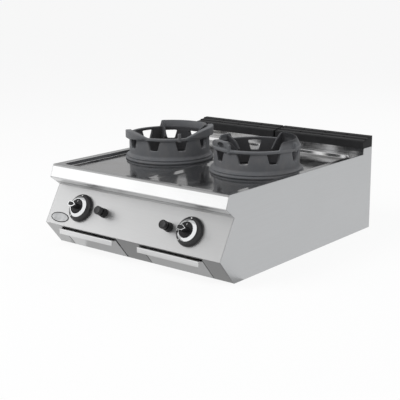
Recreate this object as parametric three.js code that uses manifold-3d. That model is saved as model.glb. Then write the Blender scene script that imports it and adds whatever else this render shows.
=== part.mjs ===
// Counter-top gas wok range with two burners, a 900-deep catering module.
// Millimetres, +Z up, +X to the cook's right, the cook stands on the -Y side.
// The origin is on the surface the range stands on, under the middle of its depth and width.
import * as THREE from "three";
import { mergeVertices } from "three/addons/utils/BufferGeometryUtils.js";
import Module from "manifold-3d";

const wasm = await Module();
wasm.setup();

// ---------------------------------------------------------------- driving dimensions
const WIDTH = 800;
const SHEET = 2;
const GAP = 0.3;
const HALF_WIDTH = WIDTH / 2;
const INNER_HALF = HALF_WIDTH - SHEET - GAP;

// Corners of the side view, as [depth, height], from the front of the top down to the base.
const TOP_FRONT = [-417, 293];
const NOSE_TIP = [-434, 249];
const NOSE_HEEL = [-414, 233];
const PANEL_TOP = [-392, 215];
const PANEL_FOOT = [-465, 87];
const BASE_FRONT = [-394, 0];
const REAR = 467;
const TOP_HEIGHT = TOP_FRONT[1];
const FLUE_FRONT = 405;
const FLUE_HEIGHT = 316;

// Deep-drawn well in the worktop.
const WELL = { side: 376, front: -394, rear: 362, depth: 27, corner: 26, draft: 5 };
const WELL_FLOOR = TOP_HEIGHT - WELL.depth;
const RIDGE = { foot: 42, crown: 22, height: 18, front: -330, rear: 330 };

// One burner station: the raised seat pressed round each burner hole.
const STATION_X = 207;
const STATION_Y = -10;
const SEAT = { foot: 160, crown: 156, hole: 118, height: 14 };
const SEAT_TOP = WELL_FLOOR + SEAT.height;

// Cast wok ring: foot plate, skirt over a groove, plain wall and proud rim band.
const RING = { plate: 166, plateHeight: 6.5, groove: 160, lip: 163.5, skirt: 24, wall: 151.5,
  rim: 156, bore: 140, band: 9, height: 93 };
const WINDOW = { count: 9, low: 47, high: 80, lowWidth: 27, highWidth: 46 };

// The loose rings as they stand: across the range, and the angle of each one's first window.
const RING_X = { left: -199, right: STATION_X };
const WINDOW_FIRST = { left: 6, right: 12 };

// Raised lobes that the wok leans on, by their end angles: each climbs over its first degrees,
// falls over its last and leans outward by its flare.
const LOBE = { rise: 27, wall: 8, steps: 7 };
const lobe = (from, to, climb, fall, flare) => ({ from, to, climb, fall, flare });
const LOBES = {
  left: [lobe(-134, -84, 4, 30, 16), lobe(-18, 54, 44, 4, 12), lobe(84, 145, 14, 3, 4)],
  right: [lobe(163, 189, 3, 6, 0), lobe(-146, -92, 30, 3, 2), lobe(-24, 88, 12, 3, -7)],
};

// Lugs cast on the rim band, and the hollow left by a core in one lobe's outer face, by angle.
const LUG = { width: 12, below: 13, above: 18, proud: 2 };
const LUGS = { left: [-35], right: [-92, 6] };
const HOLLOW = { radius: 7, depth: 5, rise: 15 };
const HOLLOWS = { left: [], right: [-110] };

// Radial fins inside the ring, by angle: their sloping edges hold a round-bottomed pan.
const FIN = { reach: 82, low: 62, thickness: 8 };
const FINS = { left: [-130, 50, 141], right: [-96, 86, 172] };

// Controls on the sloping panel: positions across, and up the slope from its foot.
const CONTROL_RISE = 75;
const KNOB_X = 250;
const IGNITER_X = { left: -137, right: 160 };
const BEZEL = { radius: 51, bore: 28, shoulder: 38.5, height: 18, cone: 9 };
const KNOB = { disc: 26.5, foot: 12, face: 30, halfGrip: 12.5, halfWaist: 6, tip: 60, trim: 2 };
const IGNITER = { collar: 16.5, button: 15, collarHeight: 20, tip: 42, neck: 10 };

// Drip drawers.
const DRAWER = { x: 188, width: 268, lip: -470, lipTop: 74, lipDrop: 17, length: 560, wall: 42 };
const DRAWER_FLOOR = 8;

// Louvred cast covers over the flue.
const COVER = { front: 396, rear: 466, top: 357, slats: 3, wall: 4, middleGap: 8 };

// Sides of a turned piece: large, usual and small.
const FINE = 30;
const ROUND = 20;
const SMALL = 12;

// ---------------------------------------------------------------- solids
const signedVolume = (position, index) => {
  let sum = 0;
  const corner = [new THREE.Vector3(), new THREE.Vector3(), new THREE.Vector3()];
  for (let i = 0; i < index.count; i += 3) {
    corner.forEach((point, k) => point.fromBufferAttribute(position, index.getX(i + k)));
    sum += corner[0].dot(corner[1].cross(corner[2]));
  }
  return sum;
};

// Any closed three.js geometry as a solid, turned outward if its faces point in.
const solid = (geometry) => {
  const bare = geometry.clone();
  bare.deleteAttribute("normal");
  bare.deleteAttribute("uv");
  const merged = mergeVertices(bare, 1e-4);
  const triVerts = new Uint32Array(merged.index.array);
  if (signedVolume(merged.attributes.position, merged.index) < 0) triVerts.reverse();
  const vertProperties = new Float32Array(merged.attributes.position.array);
  return new wasm.Manifold(new wasm.Mesh({ numProp: 3, vertProperties, triVerts }));
};

const geometryOf = (body) => {
  const mesh = body.getMesh();
  const geometry = new THREE.BufferGeometry();
  geometry.setAttribute("position", new THREE.BufferAttribute(new Float32Array(mesh.vertProperties), 3));
  geometry.setIndex(new THREE.BufferAttribute(new Uint32Array(mesh.triVerts), 1));
  const flat = geometry.toNonIndexed();
  flat.computeVertexNormals();
  return flat;
};

const join = (...bodies) => bodies.reduce((whole, body) => whole.add(body));
const cut = (body, ...tools) => tools.reduce((left, tool) => left.subtract(tool), body);
const moved = (body, matrix) => body.transform(matrix.elements);
const at = (x, y, z) => new THREE.Matrix4().makeTranslation(x, y, z);
const turnedZ = (degrees) => new THREE.Matrix4().makeRotationZ(THREE.MathUtils.degToRad(degrees));

const block = ([x0, x1], [y0, y1], [z0, z1]) => {
  const geometry = new THREE.BoxGeometry(x1 - x0, y1 - y0, z1 - z0);
  return solid(geometry.translate((x0 + x1) / 2, (y0 + y1) / 2, (z0 + z1) / 2));
};

const shapeOf = (points) => new THREE.Shape(points.map(([u, v]) => new THREE.Vector2(u, v)));

const extruded = (shape, depth, curveSegments = 6) =>
  new THREE.ExtrudeGeometry(shape, { depth, bevelEnabled: false, curveSegments });

// A [depth, height] outline swept across the range from x0 to x1.
const acrossX = (points, x0, x1) => {
  const turn = new THREE.Matrix4().makeBasis(
    new THREE.Vector3(0, 1, 0),
    new THREE.Vector3(0, 0, 1),
    new THREE.Vector3(1, 0, 0),
  );
  return solid(extruded(shapeOf(points), x1 - x0).applyMatrix4(turn).translate(x0, 0, 0));
};

// A [radius, height] profile turned about the vertical axis.
const turned = (profile, segments = ROUND) => {
  const points = profile.map(([radius, height]) => new THREE.Vector2(radius, height));
  return solid(new THREE.LatheGeometry(points, segments).rotateX(Math.PI / 2));
};

const ring = (inner, outer, z0, z1, segments = ROUND) =>
  turned([[inner, z0], [outer, z0], [outer, z1], [inner, z1], [inner, z0]], segments);

const disc = (radius, z0, z1, segments = ROUND) =>
  turned([[0, z0], [radius, z0], [radius, z1], [0, z1]], segments);

const roundedRect = (x0, x1, y0, y1, radius) => {
  const shape = new THREE.Shape();
  shape.moveTo(x0 + radius, y0);
  shape.lineTo(x1 - radius, y0);
  shape.absarc(x1 - radius, y0 + radius, radius, -Math.PI / 2, 0);
  shape.absarc(x1 - radius, y1 - radius, radius, 0, Math.PI / 2);
  shape.absarc(x0 + radius, y1 - radius, radius, Math.PI / 2, Math.PI);
  shape.absarc(x0 + radius, y0 + radius, radius, Math.PI, Math.PI * 1.5);
  return shape;
};

// Skins stacked outlines of equal point count into one closed solid.
const lofted = (sections) => {
  const count = sections[0].length;
  const position = sections.flat().flatMap((point) => point.toArray());
  const index = [];
  for (let level = 0; level + 1 < sections.length; level++)
    for (let i = 0; i < count; i++) {
      const a = level * count + i;
      const b = level * count + ((i + 1) % count);
      index.push(a, b, b + count, a, b + count, a + count);
    }
  const last = (sections.length - 1) * count;
  const flatCap = sections[0].map((point) => new THREE.Vector2(point.x, point.y));
  const onEdge = Math.abs(THREE.ShapeUtils.area(flatCap)) < 1e-6;
  const cap = onEdge ? sections[0].slice(2).map((_, i) => [0, i + 1, i + 2])
    : THREE.ShapeUtils.triangulateShape(flatCap, []);
  cap.forEach(([a, b, c]) => index.push(a, c, b, last + a, last + b, last + c));
  const geometry = new THREE.BufferGeometry();
  geometry.setAttribute("position", new THREE.Float32BufferAttribute(position, 3));
  geometry.setIndex(index);
  return solid(geometry);
};

// A round pipe through the given corners: straight runs joined by elbows of the given bend length.
const pipe = (corners, radius, bend, sides = 4) => {
  const points = corners.map((corner) => new THREE.Vector3(...corner));
  const section = new THREE.Shape();
  section.absarc(0, 0, radius, 0, Math.PI * 2);
  const sweep = (extrudePath, steps) =>
    solid(new THREE.ExtrudeGeometry(section, { extrudePath, steps, bevelEnabled: false, curveSegments: sides }));
  const runs = [];
  let from = points[0];
  for (let i = 1; i + 1 < points.length; i++) {
    const before = points[i].clone().add(points[i - 1].clone().sub(points[i]).setLength(bend));
    const after = points[i].clone().add(points[i + 1].clone().sub(points[i]).setLength(bend));
    runs.push(sweep(new THREE.LineCurve3(from, before), 1));
    runs.push(sweep(new THREE.QuadraticBezierCurve3(before, points[i], after), 3));
    from = after;
  }
  runs.push(sweep(new THREE.LineCurve3(from, points.at(-1)), 1));
  return join(...runs);
};

// ---------------------------------------------------------------- materials
const finish = (color, roughness, metalness) => ({ color, roughness, metalness });
const FINISHES = {
  brushed: finish(0xc9cbcd, 0.34, 1),
  polished: finish(0xd6d7d8, 0.14, 1),
  galvanised: finish(0xa9adb0, 0.5, 0.9),
  castIron: finish(0x3b3c3e, 0.72, 0.35),
  blackIron: finish(0x222324, 0.66, 0.3),
  chrome: finish(0xe9eaec, 0.08, 1),
  blackPlastic: finish(0x151516, 0.38, 0),
  brass: finish(0xb48a43, 0.3, 1),
  copper: finish(0xb8714a, 0.35, 1),
  ceramic: finish(0xe8e4da, 0.3, 0),
};

const range = new THREE.Group();

const addPart = (name, body, finishName) => {
  const mesh = new THREE.Mesh(geometryOf(body), new THREE.MeshStandardMaterial(FINISHES[finishName]));
  mesh.name = name;
  range.add(mesh);
};

// ---------------------------------------------------------------- planes of the sloping front
// A frame lying in a sloping face: x across, y up the slope, z straight out of the face.
const slopeFrame = (foot, head) => {
  const rise = new THREE.Vector3(0, head[0] - foot[0], head[1] - foot[1]).normalize();
  const across = new THREE.Vector3(1, 0, 0);
  const out = across.clone().cross(rise);
  return new THREE.Matrix4().makeBasis(across, rise, out).setPosition(0, foot[0], foot[1]);
};
const slopeLength = (foot, head) => Math.hypot(head[0] - foot[0], head[1] - foot[1]);
const panelFrame = slopeFrame(PANEL_FOOT, PANEL_TOP);
const controlFrame = (x) => panelFrame.clone().multiply(at(x, CONTROL_RISE, 0));

// ---------------------------------------------------------------- casing
const SIDE_OUTLINE = [
  TOP_FRONT,
  NOSE_TIP,
  PANEL_TOP,
  PANEL_FOOT,
  BASE_FRONT,
  [REAR, 0],
  [REAR, FLUE_HEIGHT],
  [FLUE_FRONT + 3, FLUE_HEIGHT],
  [FLUE_FRONT, FLUE_HEIGHT - 3],
  [FLUE_FRONT, TOP_HEIGHT],
];
const FLANGE = 18;

// A pressed side: the full side view in sheet, with return flanges along its foot and its back edge.
const sidePanel = () => {
  const skin = acrossX(SIDE_OUTLINE, HALF_WIDTH - SHEET, HALF_WIDTH);
  const inward = [HALF_WIDTH - FLANGE, HALF_WIDTH - SHEET / 2];
  const foot = block(inward, [BASE_FRONT[0] + SHEET, REAR - SHEET / 2], [0, SHEET]);
  const back = block(inward, [REAR - SHEET, REAR], [0, FLUE_HEIGHT]);
  return join(skin, foot, back);
};

const basePlate = () => {
  const reach = HALF_WIDTH - FLANGE - GAP;
  const front = BASE_FRONT[0] + SHEET;
  const plate = block([-reach, reach], [front, REAR - SHEET - GAP], [0, SHEET]);
  const rib = block([-6, 6], [front + 60, REAR - 60], [0, 6]);
  const lip = block([-20, 20], [front, front + SHEET], [0, DRAWER_FLOOR - 2]);
  return join(plate, rib, lip);
};

const MANIFOLD = { x: -352, y: -418, z: 70, radius: 9, end: 296 };
const UNION = { radius: 14, length: 24 };

const rearPanel = () => {
  const reach = HALF_WIDTH - FLANGE - GAP;
  const shape = shapeOf([[-reach, SHEET + GAP], [reach, SHEET + GAP], [reach, FLUE_HEIGHT], [-reach, FLUE_HEIGHT]]);
  const hole = new THREE.Path();
  hole.absarc(MANIFOLD.x, MANIFOLD.z, MANIFOLD.radius + 1.5, 0, Math.PI * 2, true);
  shape.holes.push(hole);
  for (let row = 0; row < 2; row++)
    for (let column = 0; column < 3; column++) {
      const x = -94 + column * 72;
      const z = 110 + row * 30;
      const slot = new THREE.Path();
      slot.moveTo(x, z - 4);
      slot.absarc(x + 44, z, 4, -Math.PI / 2, Math.PI / 2);
      slot.absarc(x, z, 4, Math.PI / 2, Math.PI * 1.5);
      shape.holes.push(slot);
    }
  const stand = new THREE.Matrix4().makeRotationX(Math.PI / 2);
  return solid(extruded(shape, SHEET, 3).applyMatrix4(stand).translate(0, REAR, 0));
};

// ---------------------------------------------------------------- worktop
const wellOutline = (inset, z) => {
  const x = WELL.side - inset;
  const radius = Math.max(WELL.corner - inset, 4);
  const shape = roundedRect(-x, x, WELL.front + inset, WELL.rear - inset, radius);
  return shape.getPoints(3).slice(0, -1).map((point) => new THREE.Vector3(point.x, point.y, z));
};

// The drawn well as a solid plug: drafted walls that round into the floor.
const wellPlug = (swell, drop) => {
  const fillet = 8;
  const levels = [
    [0, TOP_HEIGHT + 1],
    [WELL.draft * 0.6, WELL_FLOOR + fillet],
    [WELL.draft * 0.6 + fillet * 0.3, WELL_FLOOR + fillet * 0.3],
    [WELL.draft + fillet, WELL_FLOOR],
  ];
  return lofted(levels.map(([inset, z]) => wellOutline(inset - swell, z - drop)).reverse());
};

const seatShell = () => turned([
  [SEAT.foot - 3, WELL_FLOOR - SHEET],
  [SEAT.foot + 2, WELL_FLOOR - SHEET],
  [SEAT.foot + 2, WELL_FLOOR],
  [SEAT.crown + 1, SEAT_TOP - 2],
  [SEAT.crown - 1, SEAT_TOP],
  [SEAT.hole, SEAT_TOP],
  [SEAT.hole, SEAT_TOP - SHEET],
  [SEAT.crown - 3, SEAT_TOP - SHEET],
  [SEAT.foot - 3, WELL_FLOOR - SHEET],
]);

// The bead between the two stations: pressed up from the floor and hollow beneath.
const ridgeSolid = (shrink) => {
  const outline = (half, z) => {
    const shape = roundedRect(-half, half, RIDGE.front + shrink + half * 0.2, RIDGE.rear - shrink, half * 0.55);
    return shape.getPoints(3).slice(0, -1).map((point) => new THREE.Vector3(point.x, point.y, z));
  };
  const foot = WELL_FLOOR - SHEET + (shrink ? -1 : 0);
  return lofted([
    outline(RIDGE.foot - shrink, foot),
    outline(RIDGE.crown + 3 - shrink, WELL_FLOOR + RIDGE.height - shrink - 3),
    outline(RIDGE.crown - shrink, WELL_FLOOR + RIDGE.height - shrink),
  ]);
};

const noseOutline = () => {
  const inner = [
    [NOSE_HEEL[0] + 1.3, NOSE_HEEL[1] + 1.6],
    [NOSE_TIP[0] + 2.6, NOSE_TIP[1] + 0.6],
    [TOP_FRONT[0] + 1.6, TOP_HEIGHT - SHEET],
    [TOP_FRONT[0] + 20, TOP_HEIGHT - SHEET],
    [TOP_FRONT[0] + 20, TOP_HEIGHT],
  ];
  return [TOP_FRONT, NOSE_TIP, NOSE_HEEL, ...inner];
};

const worktop = () => {
  const rimRear = FLUE_FRONT - GAP;
  const top = block([-INNER_HALF, INNER_HALF], [TOP_FRONT[0] + 2, rimRear], [TOP_HEIGHT - SHEET, TOP_HEIGHT]);
  const nose = acrossX(noseOutline(), -INNER_HALF, INNER_HALF);
  const rearFold = block([-INNER_HALF, INNER_HALF], [rimRear - SHEET, rimRear], [TOP_HEIGHT - 22, TOP_HEIGHT]);
  const sideFold = (side) => {
    const reach = [INNER_HALF - SHEET, INNER_HALF].map((x) => x * side).sort((a, b) => a - b);
    return block(reach, [PANEL_TOP[0], rimRear], [TOP_HEIGHT - 18, TOP_HEIGHT]);
  };
  let shell = join(top, nose, rearFold, sideFold(-1), sideFold(1), wellPlug(SHEET, SHEET));
  shell = shell.subtract(wellPlug(0, 0));
  for (const side of [-1, 1]) {
    const place = at(side * STATION_X, STATION_Y, 0);
    shell = shell.subtract(moved(disc(SEAT.foot - 1, WELL_FLOOR - 9, WELL_FLOOR + 9), place));
    shell = shell.add(moved(seatShell(), place));
  }
  return cut(join(shell, ridgeSolid(0)), ridgeSolid(SHEET));
};

// ---------------------------------------------------------------- sloping front
const controlPanel = () => {
  const length = slopeLength(PANEL_FOOT, PANEL_TOP);
  const face = block([-INNER_HALF, INNER_HALF], [0, length], [-SHEET, 0]);
  const sleeve = (x, radius) => moved(disc(radius, -9, 9, SMALL), at(x, CONTROL_RISE, 0));
  const drilled = cut(
    face,
    sleeve(-KNOB_X, 8),
    sleeve(KNOB_X, 8),
    sleeve(IGNITER_X.left, IGNITER.neck + 0.5),
    sleeve(IGNITER_X.right, IGNITER.neck + 0.5),
  );
  const headFold = acrossX(
    [
      PANEL_TOP,
      [NOSE_HEEL[0] + 5, NOSE_HEEL[1] - 4.5],
      [NOSE_HEEL[0] + 6.6, NOSE_HEEL[1] - 2.9],
      [NOSE_HEEL[0] + 22, NOSE_HEEL[1] - 2.9],
      [NOSE_HEEL[0] + 22, NOSE_HEEL[1] - 5.2],
      [PANEL_TOP[0] + 2.2, PANEL_TOP[1]],
      [PANEL_TOP[0] + 0.2, PANEL_TOP[1] - 3],
    ],
    -INNER_HALF,
    INNER_HALF,
  );
  const footFold = acrossX(
    [PANEL_FOOT, [PANEL_FOOT[0] + 20, PANEL_FOOT[1]], [PANEL_FOOT[0] + 20, PANEL_FOOT[1] + SHEET],
      [PANEL_FOOT[0] + SHEET, PANEL_FOOT[1] + SHEET]],
    -INNER_HALF,
    INNER_HALF,
  );
  const below = block([-WIDTH, WIDTH], [PANEL_FOOT[0] - 9, PANEL_FOOT[0] + 9], [PANEL_FOOT[1] - 9, PANEL_FOOT[1]]);
  return join(moved(drilled, panelFrame).subtract(below), headFold, footFold);
};

const drawerSpan = (side) => [side * DRAWER.x - DRAWER.width / 2, side * DRAWER.x + DRAWER.width / 2];

// The lower front: one sloping sheet with a full-height opening for each drawer.
const lowerFront = () => {
  const head = [PANEL_FOOT[0], PANEL_FOOT[1] - GAP];
  const frame = slopeFrame(BASE_FRONT, head);
  const length = slopeLength(BASE_FRONT, head);
  const sheet = block([-INNER_HALF, INNER_HALF], [3, length - 0.5], [-SHEET, 0]);
  const openings = [-1, 1].map((side) => {
    const [x0, x1] = drawerSpan(side);
    return block([x0 - 1.5, x1 + 1.5], [-5, length - 7], [-9, 9]);
  });
  const tieTop = head[1];
  const tie = acrossX(
    [[head[0], tieTop], [head[0] + 26, tieTop], [head[0] + 26, tieTop - SHEET], [head[0] + SHEET, tieTop - SHEET]],
    -INNER_HALF,
    INNER_HALF,
  );
  const above = block([-WIDTH, WIDTH], [head[0] - 9, head[0] + 9], [tieTop, tieTop + 9]);
  return join(moved(cut(sheet, ...openings), frame).subtract(above), tie);
};

const lineDepthAt = (z) => {
  const share = z / PANEL_FOOT[1];
  return BASE_FRONT[0] + share * (PANEL_FOOT[0] - BASE_FRONT[0]);
};

// Folded drawer front: sloping face, then a shelf forward and a lip turned down to pull on.
const drawerFront = (side) => {
  const [x0, x1] = drawerSpan(side);
  const foot = 3.5;
  const shelf = DRAWER.lipTop;
  const lipFoot = shelf - DRAWER.lipDrop;
  const outline = [
    [lineDepthAt(foot), foot],
    [lineDepthAt(foot) + 2.6, foot],
    [lineDepthAt(shelf) + 2.6, shelf],
    [DRAWER.lip, shelf],
    [DRAWER.lip, lipFoot],
    [DRAWER.lip + SHEET, lipFoot],
    [DRAWER.lip + SHEET, shelf - SHEET],
    [lineDepthAt(shelf - SHEET), shelf - SHEET],
  ];
  return acrossX(outline, x0, x1);
};

const drawerTray = (side) => {
  const [x0, x1] = drawerSpan(side).map((x, end) => x + (end ? -4 : 4));
  const front = lineDepthAt(DRAWER_FLOOR) + 3.3;
  const rear = front + DRAWER.length;
  const lean = lineDepthAt(DRAWER_FLOOR + DRAWER.wall) + 3.3;
  const outer = [[front, DRAWER_FLOOR], [rear, DRAWER_FLOOR], [rear, DRAWER_FLOOR + DRAWER.wall],
    [lean, DRAWER_FLOOR + DRAWER.wall]];
  const inner = [[front + 2, DRAWER_FLOOR + 1.5], [rear - 1.5, DRAWER_FLOOR + 1.5],
    [rear - 1.5, DRAWER_FLOOR + 60], [lean - 12.7, DRAWER_FLOOR + 60]];
  const box = acrossX(outer, x0, x1).subtract(acrossX(inner, x0 + 1.5, x1 - 1.5));
  const hem = (x) => block([x - 3, x + 3], [lean + 2, rear], [DRAWER_FLOOR + DRAWER.wall - 3, DRAWER_FLOOR + DRAWER.wall]);
  return join(box, hem(x0 + 3), hem(x1 - 3));
};

// An angle the drawer runs on: foot on the base plate, wall beside the tray.
const drawerRail = (x, toward) => {
  const y = [BASE_FRONT[0] + 34, BASE_FRONT[0] + 640];
  const foot = [x, x + toward * 14].sort((a, b) => a - b);
  const wall = [x, x - toward * 1.5].sort((a, b) => a - b);
  return join(block(foot, y, [SHEET + GAP, DRAWER_FLOOR - GAP]), block(wall, y, [SHEET + GAP, DRAWER_FLOOR + 34]));
};

// ---------------------------------------------------------------- inner frame
const BRACE = { front: -318, rear: 300, low: 160, high: 188, width: 30 };

const crossBrace = (y) => {
  const outline = [[y, BRACE.low], [y + SHEET, BRACE.low], [y + SHEET, BRACE.high - SHEET],
    [y + BRACE.width - SHEET, BRACE.high - SHEET], [y + BRACE.width - SHEET, BRACE.low],
    [y + BRACE.width, BRACE.low], [y + BRACE.width, BRACE.high], [y, BRACE.high]];
  return acrossX(outline, -INNER_HALF, INNER_HALF);
};

// Strap that carries a burner: a shallow channel from the front brace to the rear one.
const burnerStrap = (side) => {
  const x = side * STATION_X;
  const y = [BRACE.front + 2, BRACE.rear + BRACE.width - 2];
  const low = BRACE.high + GAP;
  const web = block([x - 26, x + 26], y, [low, low + 2.5]);
  const wing = (offset) => block([x + offset - 1, x + offset + 1], y, [low, low + 12]);
  return join(web, wing(-25), wing(25));
};

const flueDuct = () => {
  const outer = block([-INNER_HALF, INNER_HALF], [FLUE_FRONT, REAR - SHEET - GAP], [232, FLUE_HEIGHT]);
  const inner = block([-INNER_HALF + SHEET, INNER_HALF - SHEET], [FLUE_FRONT + SHEET, REAR - 2 * SHEET - GAP],
    [200, FLUE_HEIGHT + 20]);
  const rearClear = block([-WIDTH, -HALF_WIDTH + FLANGE + GAP], [REAR - SHEET - 2, REAR], [200, 400]);
  const otherClear = block([HALF_WIDTH - FLANGE - GAP, WIDTH], [REAR - SHEET - 2, REAR], [200, 400]);
  const divider = block([-SHEET / 2, SHEET / 2], [FLUE_FRONT, REAR - SHEET - 1], [232, FLUE_HEIGHT]);
  return cut(join(cut(outer, inner), divider), rearClear, otherClear);
};

// ---------------------------------------------------------------- louvred flue covers
// Cast grille: a drip wall in front, stepped slats over open slots, webs and end walls between.
const flueCover = (side) => {
  const ends = [COVER.middleGap / 2, HALF_WIDTH].map((x) => x * side).sort((a, b) => a - b);
  const [x0, x1] = ends;
  const low = FLUE_HEIGHT + GAP;
  const pitch = (COVER.rear - COVER.front) / COVER.slats;
  const stepDown = 5;
  const frontTop = COVER.top - stepDown * COVER.slats;
  const frontWall = acrossX(
    [[COVER.front, low], [COVER.front + COVER.wall, low], [COVER.front + COVER.wall + 2, frontTop + 3],
      [COVER.front + 3, frontTop + 3], [COVER.front + 1, frontTop]],
    x0, x1,
  );
  const rearWall = acrossX(
    [[COVER.rear - COVER.wall, low], [COVER.rear, low], [COVER.rear, COVER.top], [COVER.rear - COVER.wall, COVER.top]],
    x0, x1,
  );
  const slat = (level) => {
    const y = COVER.front + level * pitch;
    const z = COVER.top - stepDown * (COVER.slats - 1 - level);
    return acrossX(
      [[y + 5, z - 5], [y + 8, z - 7.5], [y + pitch + 3, z - 4], [y + pitch + 3, z - 0.6], [y + pitch, z],
        [y + 9, z - 1.5]].map(([depth, height]) => [Math.min(depth, COVER.rear), height]),
      x0, x1,
    );
  };
  const webOutline = [[COVER.front, low], [COVER.rear, low], [COVER.rear, COVER.top]];
  for (let level = COVER.slats - 1; level >= 0; level--) {
    const z = COVER.top - stepDown * (COVER.slats - 1 - level);
    const y = COVER.front + level * pitch;
    webOutline.push([y + 3, z - 1.2], [y + 2, z - stepDown - 0.6]);
  }
  const thickness = 4;
  const webs = [];
  const bays = 4;
  for (let i = 0; i <= bays; i++) {
    const x = x0 + (i * (x1 - x0 - thickness)) / bays;
    webs.push(acrossX(webOutline, x, x + thickness));
  }
  return join(frontWall, rearWall, ...[0, 1, 2].map(slat), ...webs);
};

// ---------------------------------------------------------------- wok ring
const ringWall = () => {
  const groove = RING.plateHeight + 2.5;
  const bandFoot = RING.height - RING.band;
  const profile = [
    [RING.bore - 4, 0],
    [RING.plate, 0],
    [RING.plate, RING.plateHeight],
    [RING.groove, groove],
    [RING.groove, groove + 1.5],
    [RING.lip, groove + 2.5],
    [RING.lip - 0.5, groove + 4.5],
    [(RING.lip + RING.wall) / 2 - 2.5, groove + 8],
    [RING.wall, RING.skirt],
    [RING.wall, bandFoot - 3],
    [RING.rim, bandFoot],
    [RING.rim, RING.height],
    [RING.bore, RING.height],
    [RING.bore - 4, 0],
  ];
  return turned(profile, FINE);
};

// One flame window: a tapered opening, wider at the top, rounded at its lower corners.
const ringWindow = (angle) => {
  const half = { low: WINDOW.lowWidth / 2, high: WINDOW.highWidth / 2 };
  const shape = shapeOf([
    [-half.low + 4, WINDOW.low],
    [half.low - 4, WINDOW.low],
    [half.low, WINDOW.low + 4],
    [half.high, WINDOW.high],
    [-half.high, WINDOW.high],
    [-half.low, WINDOW.low + 4],
  ]);
  const turn = new THREE.Matrix4().makeBasis(
    new THREE.Vector3(0, 1, 0),
    new THREE.Vector3(0, 0, 1),
    new THREE.Vector3(1, 0, 0),
  );
  const tool = solid(extruded(shape, 60).applyMatrix4(turn).translate(RING.bore - 30, 0, 0));
  return moved(tool, turnedZ(angle));
};

// One raised lobe: a flared wall that follows the rim and runs out at both ends.
const ringLobe = ({ from, to, climb, fall, flare }) => {
  const sections = [];
  for (let i = 0; i <= LOBE.steps; i++) {
    const along = (i / LOBE.steps) * (to - from);
    const share = THREE.MathUtils.clamp(Math.min(along / climb, (to - from - along) / fall), 0, 1);
    const rise = 0.5 + (LOBE.rise - 0.5) * Math.sin((Math.PI / 2) * share);
    const angle = THREE.MathUtils.degToRad(from + along);
    const lean = (flare * rise) / LOBE.rise;
    const top = RING.height + rise;
    const outline = [
      [RING.bore + 1, RING.height - RING.band],
      [RING.rim - 1, RING.height - 6],
      [RING.rim - 1 + lean * 0.45, RING.height - 3 + rise * 0.5],
      [RING.rim - 1 + lean, top],
      [RING.rim - LOBE.wall + lean, top],
      [RING.rim - LOBE.wall - 2 + lean * 0.3, RING.height - 3 + rise * 0.4],
    ];
    sections.push(outline.map(([radius, z]) =>
      new THREE.Vector3(radius * Math.cos(angle), radius * Math.sin(angle), z)));
  }
  return lofted(sections);
};

// One fin: a web from the lobe's top that runs inward and down, then back under to the wall.
const ringFin = (angle) => {
  const outer = RING.bore + 2;
  const outline = [
    [outer, RING.height + LOBE.rise - 4],
    [outer - 8, RING.height + LOBE.rise - 5],
    [FIN.reach + 22, RING.height - 4],
    [FIN.reach, FIN.low],
    [FIN.reach + 8, FIN.low - 6],
    [outer, FIN.low - 34],
  ];
  const stand = new THREE.Matrix4().makeRotationX(Math.PI / 2);
  const web = extruded(shapeOf(outline), FIN.thickness).applyMatrix4(stand);
  return moved(solid(web.translate(0, FIN.thickness / 2, 0)), turnedZ(angle));
};

// A lug standing on the rim band, by which the ring is turned and lifted.
const ringLug = (angle) => {
  const reach = [RING.rim - LOBE.wall, RING.rim + LUG.proud];
  const width = [-LUG.width / 2, LUG.width / 2];
  return moved(block(reach, width, [RING.height - LUG.below, RING.height + LUG.above]), turnedZ(angle));
};

const ringHollow = (angle) => {
  const length = 40;
  const drill = new THREE.CylinderGeometry(HOLLOW.radius, HOLLOW.radius, length, 10).rotateZ(Math.PI / 2);
  const start = RING.rim - HOLLOW.depth;
  return moved(solid(drill.translate(start + length / 2, 0, RING.height + HOLLOW.rise)), turnedZ(angle));
};

const wokRing = (name) => {
  const windows = [];
  for (let i = 0; i < WINDOW.count; i++) windows.push(ringWindow(WINDOW_FIRST[name] + (i * 360) / WINDOW.count));
  const raised = join(...LOBES[name].map(ringLobe), ...LUGS[name].map(ringLug));
  const hollowed = cut(raised, ...HOLLOWS[name].map(ringHollow));
  const casting = join(cut(ringWall(), ...windows), hollowed, ...FINS[name].map(ringFin));
  return moved(casting, at(RING_X[name], STATION_Y, SEAT_TOP + GAP));
};

// ---------------------------------------------------------------- burner
const BOWL_RIM = SEAT_TOP - SHEET - GAP;
const HEAD = { radius: 62, seat: 262, top: 284, ports: 10 };
const SHELF = { low: 238, high: 245, reach: 84 };
const VENTURI = { z: 212, front: -232, radius: 15, mouth: 20 };

const burnerBowl = () => turned([
  [SEAT.hole - 4, BOWL_RIM],
  [SEAT.crown - 18, BOWL_RIM],
  [SEAT.crown - 18, BOWL_RIM - 1.5],
  [SEAT.hole - 3, BOWL_RIM - 1.5],
  [98, 234],
  [87, 231],
  [86, 233],
  [96, 236],
  [SEAT.hole - 7, BOWL_RIM - 2],
  [SEAT.hole - 4, BOWL_RIM],
]);

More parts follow.
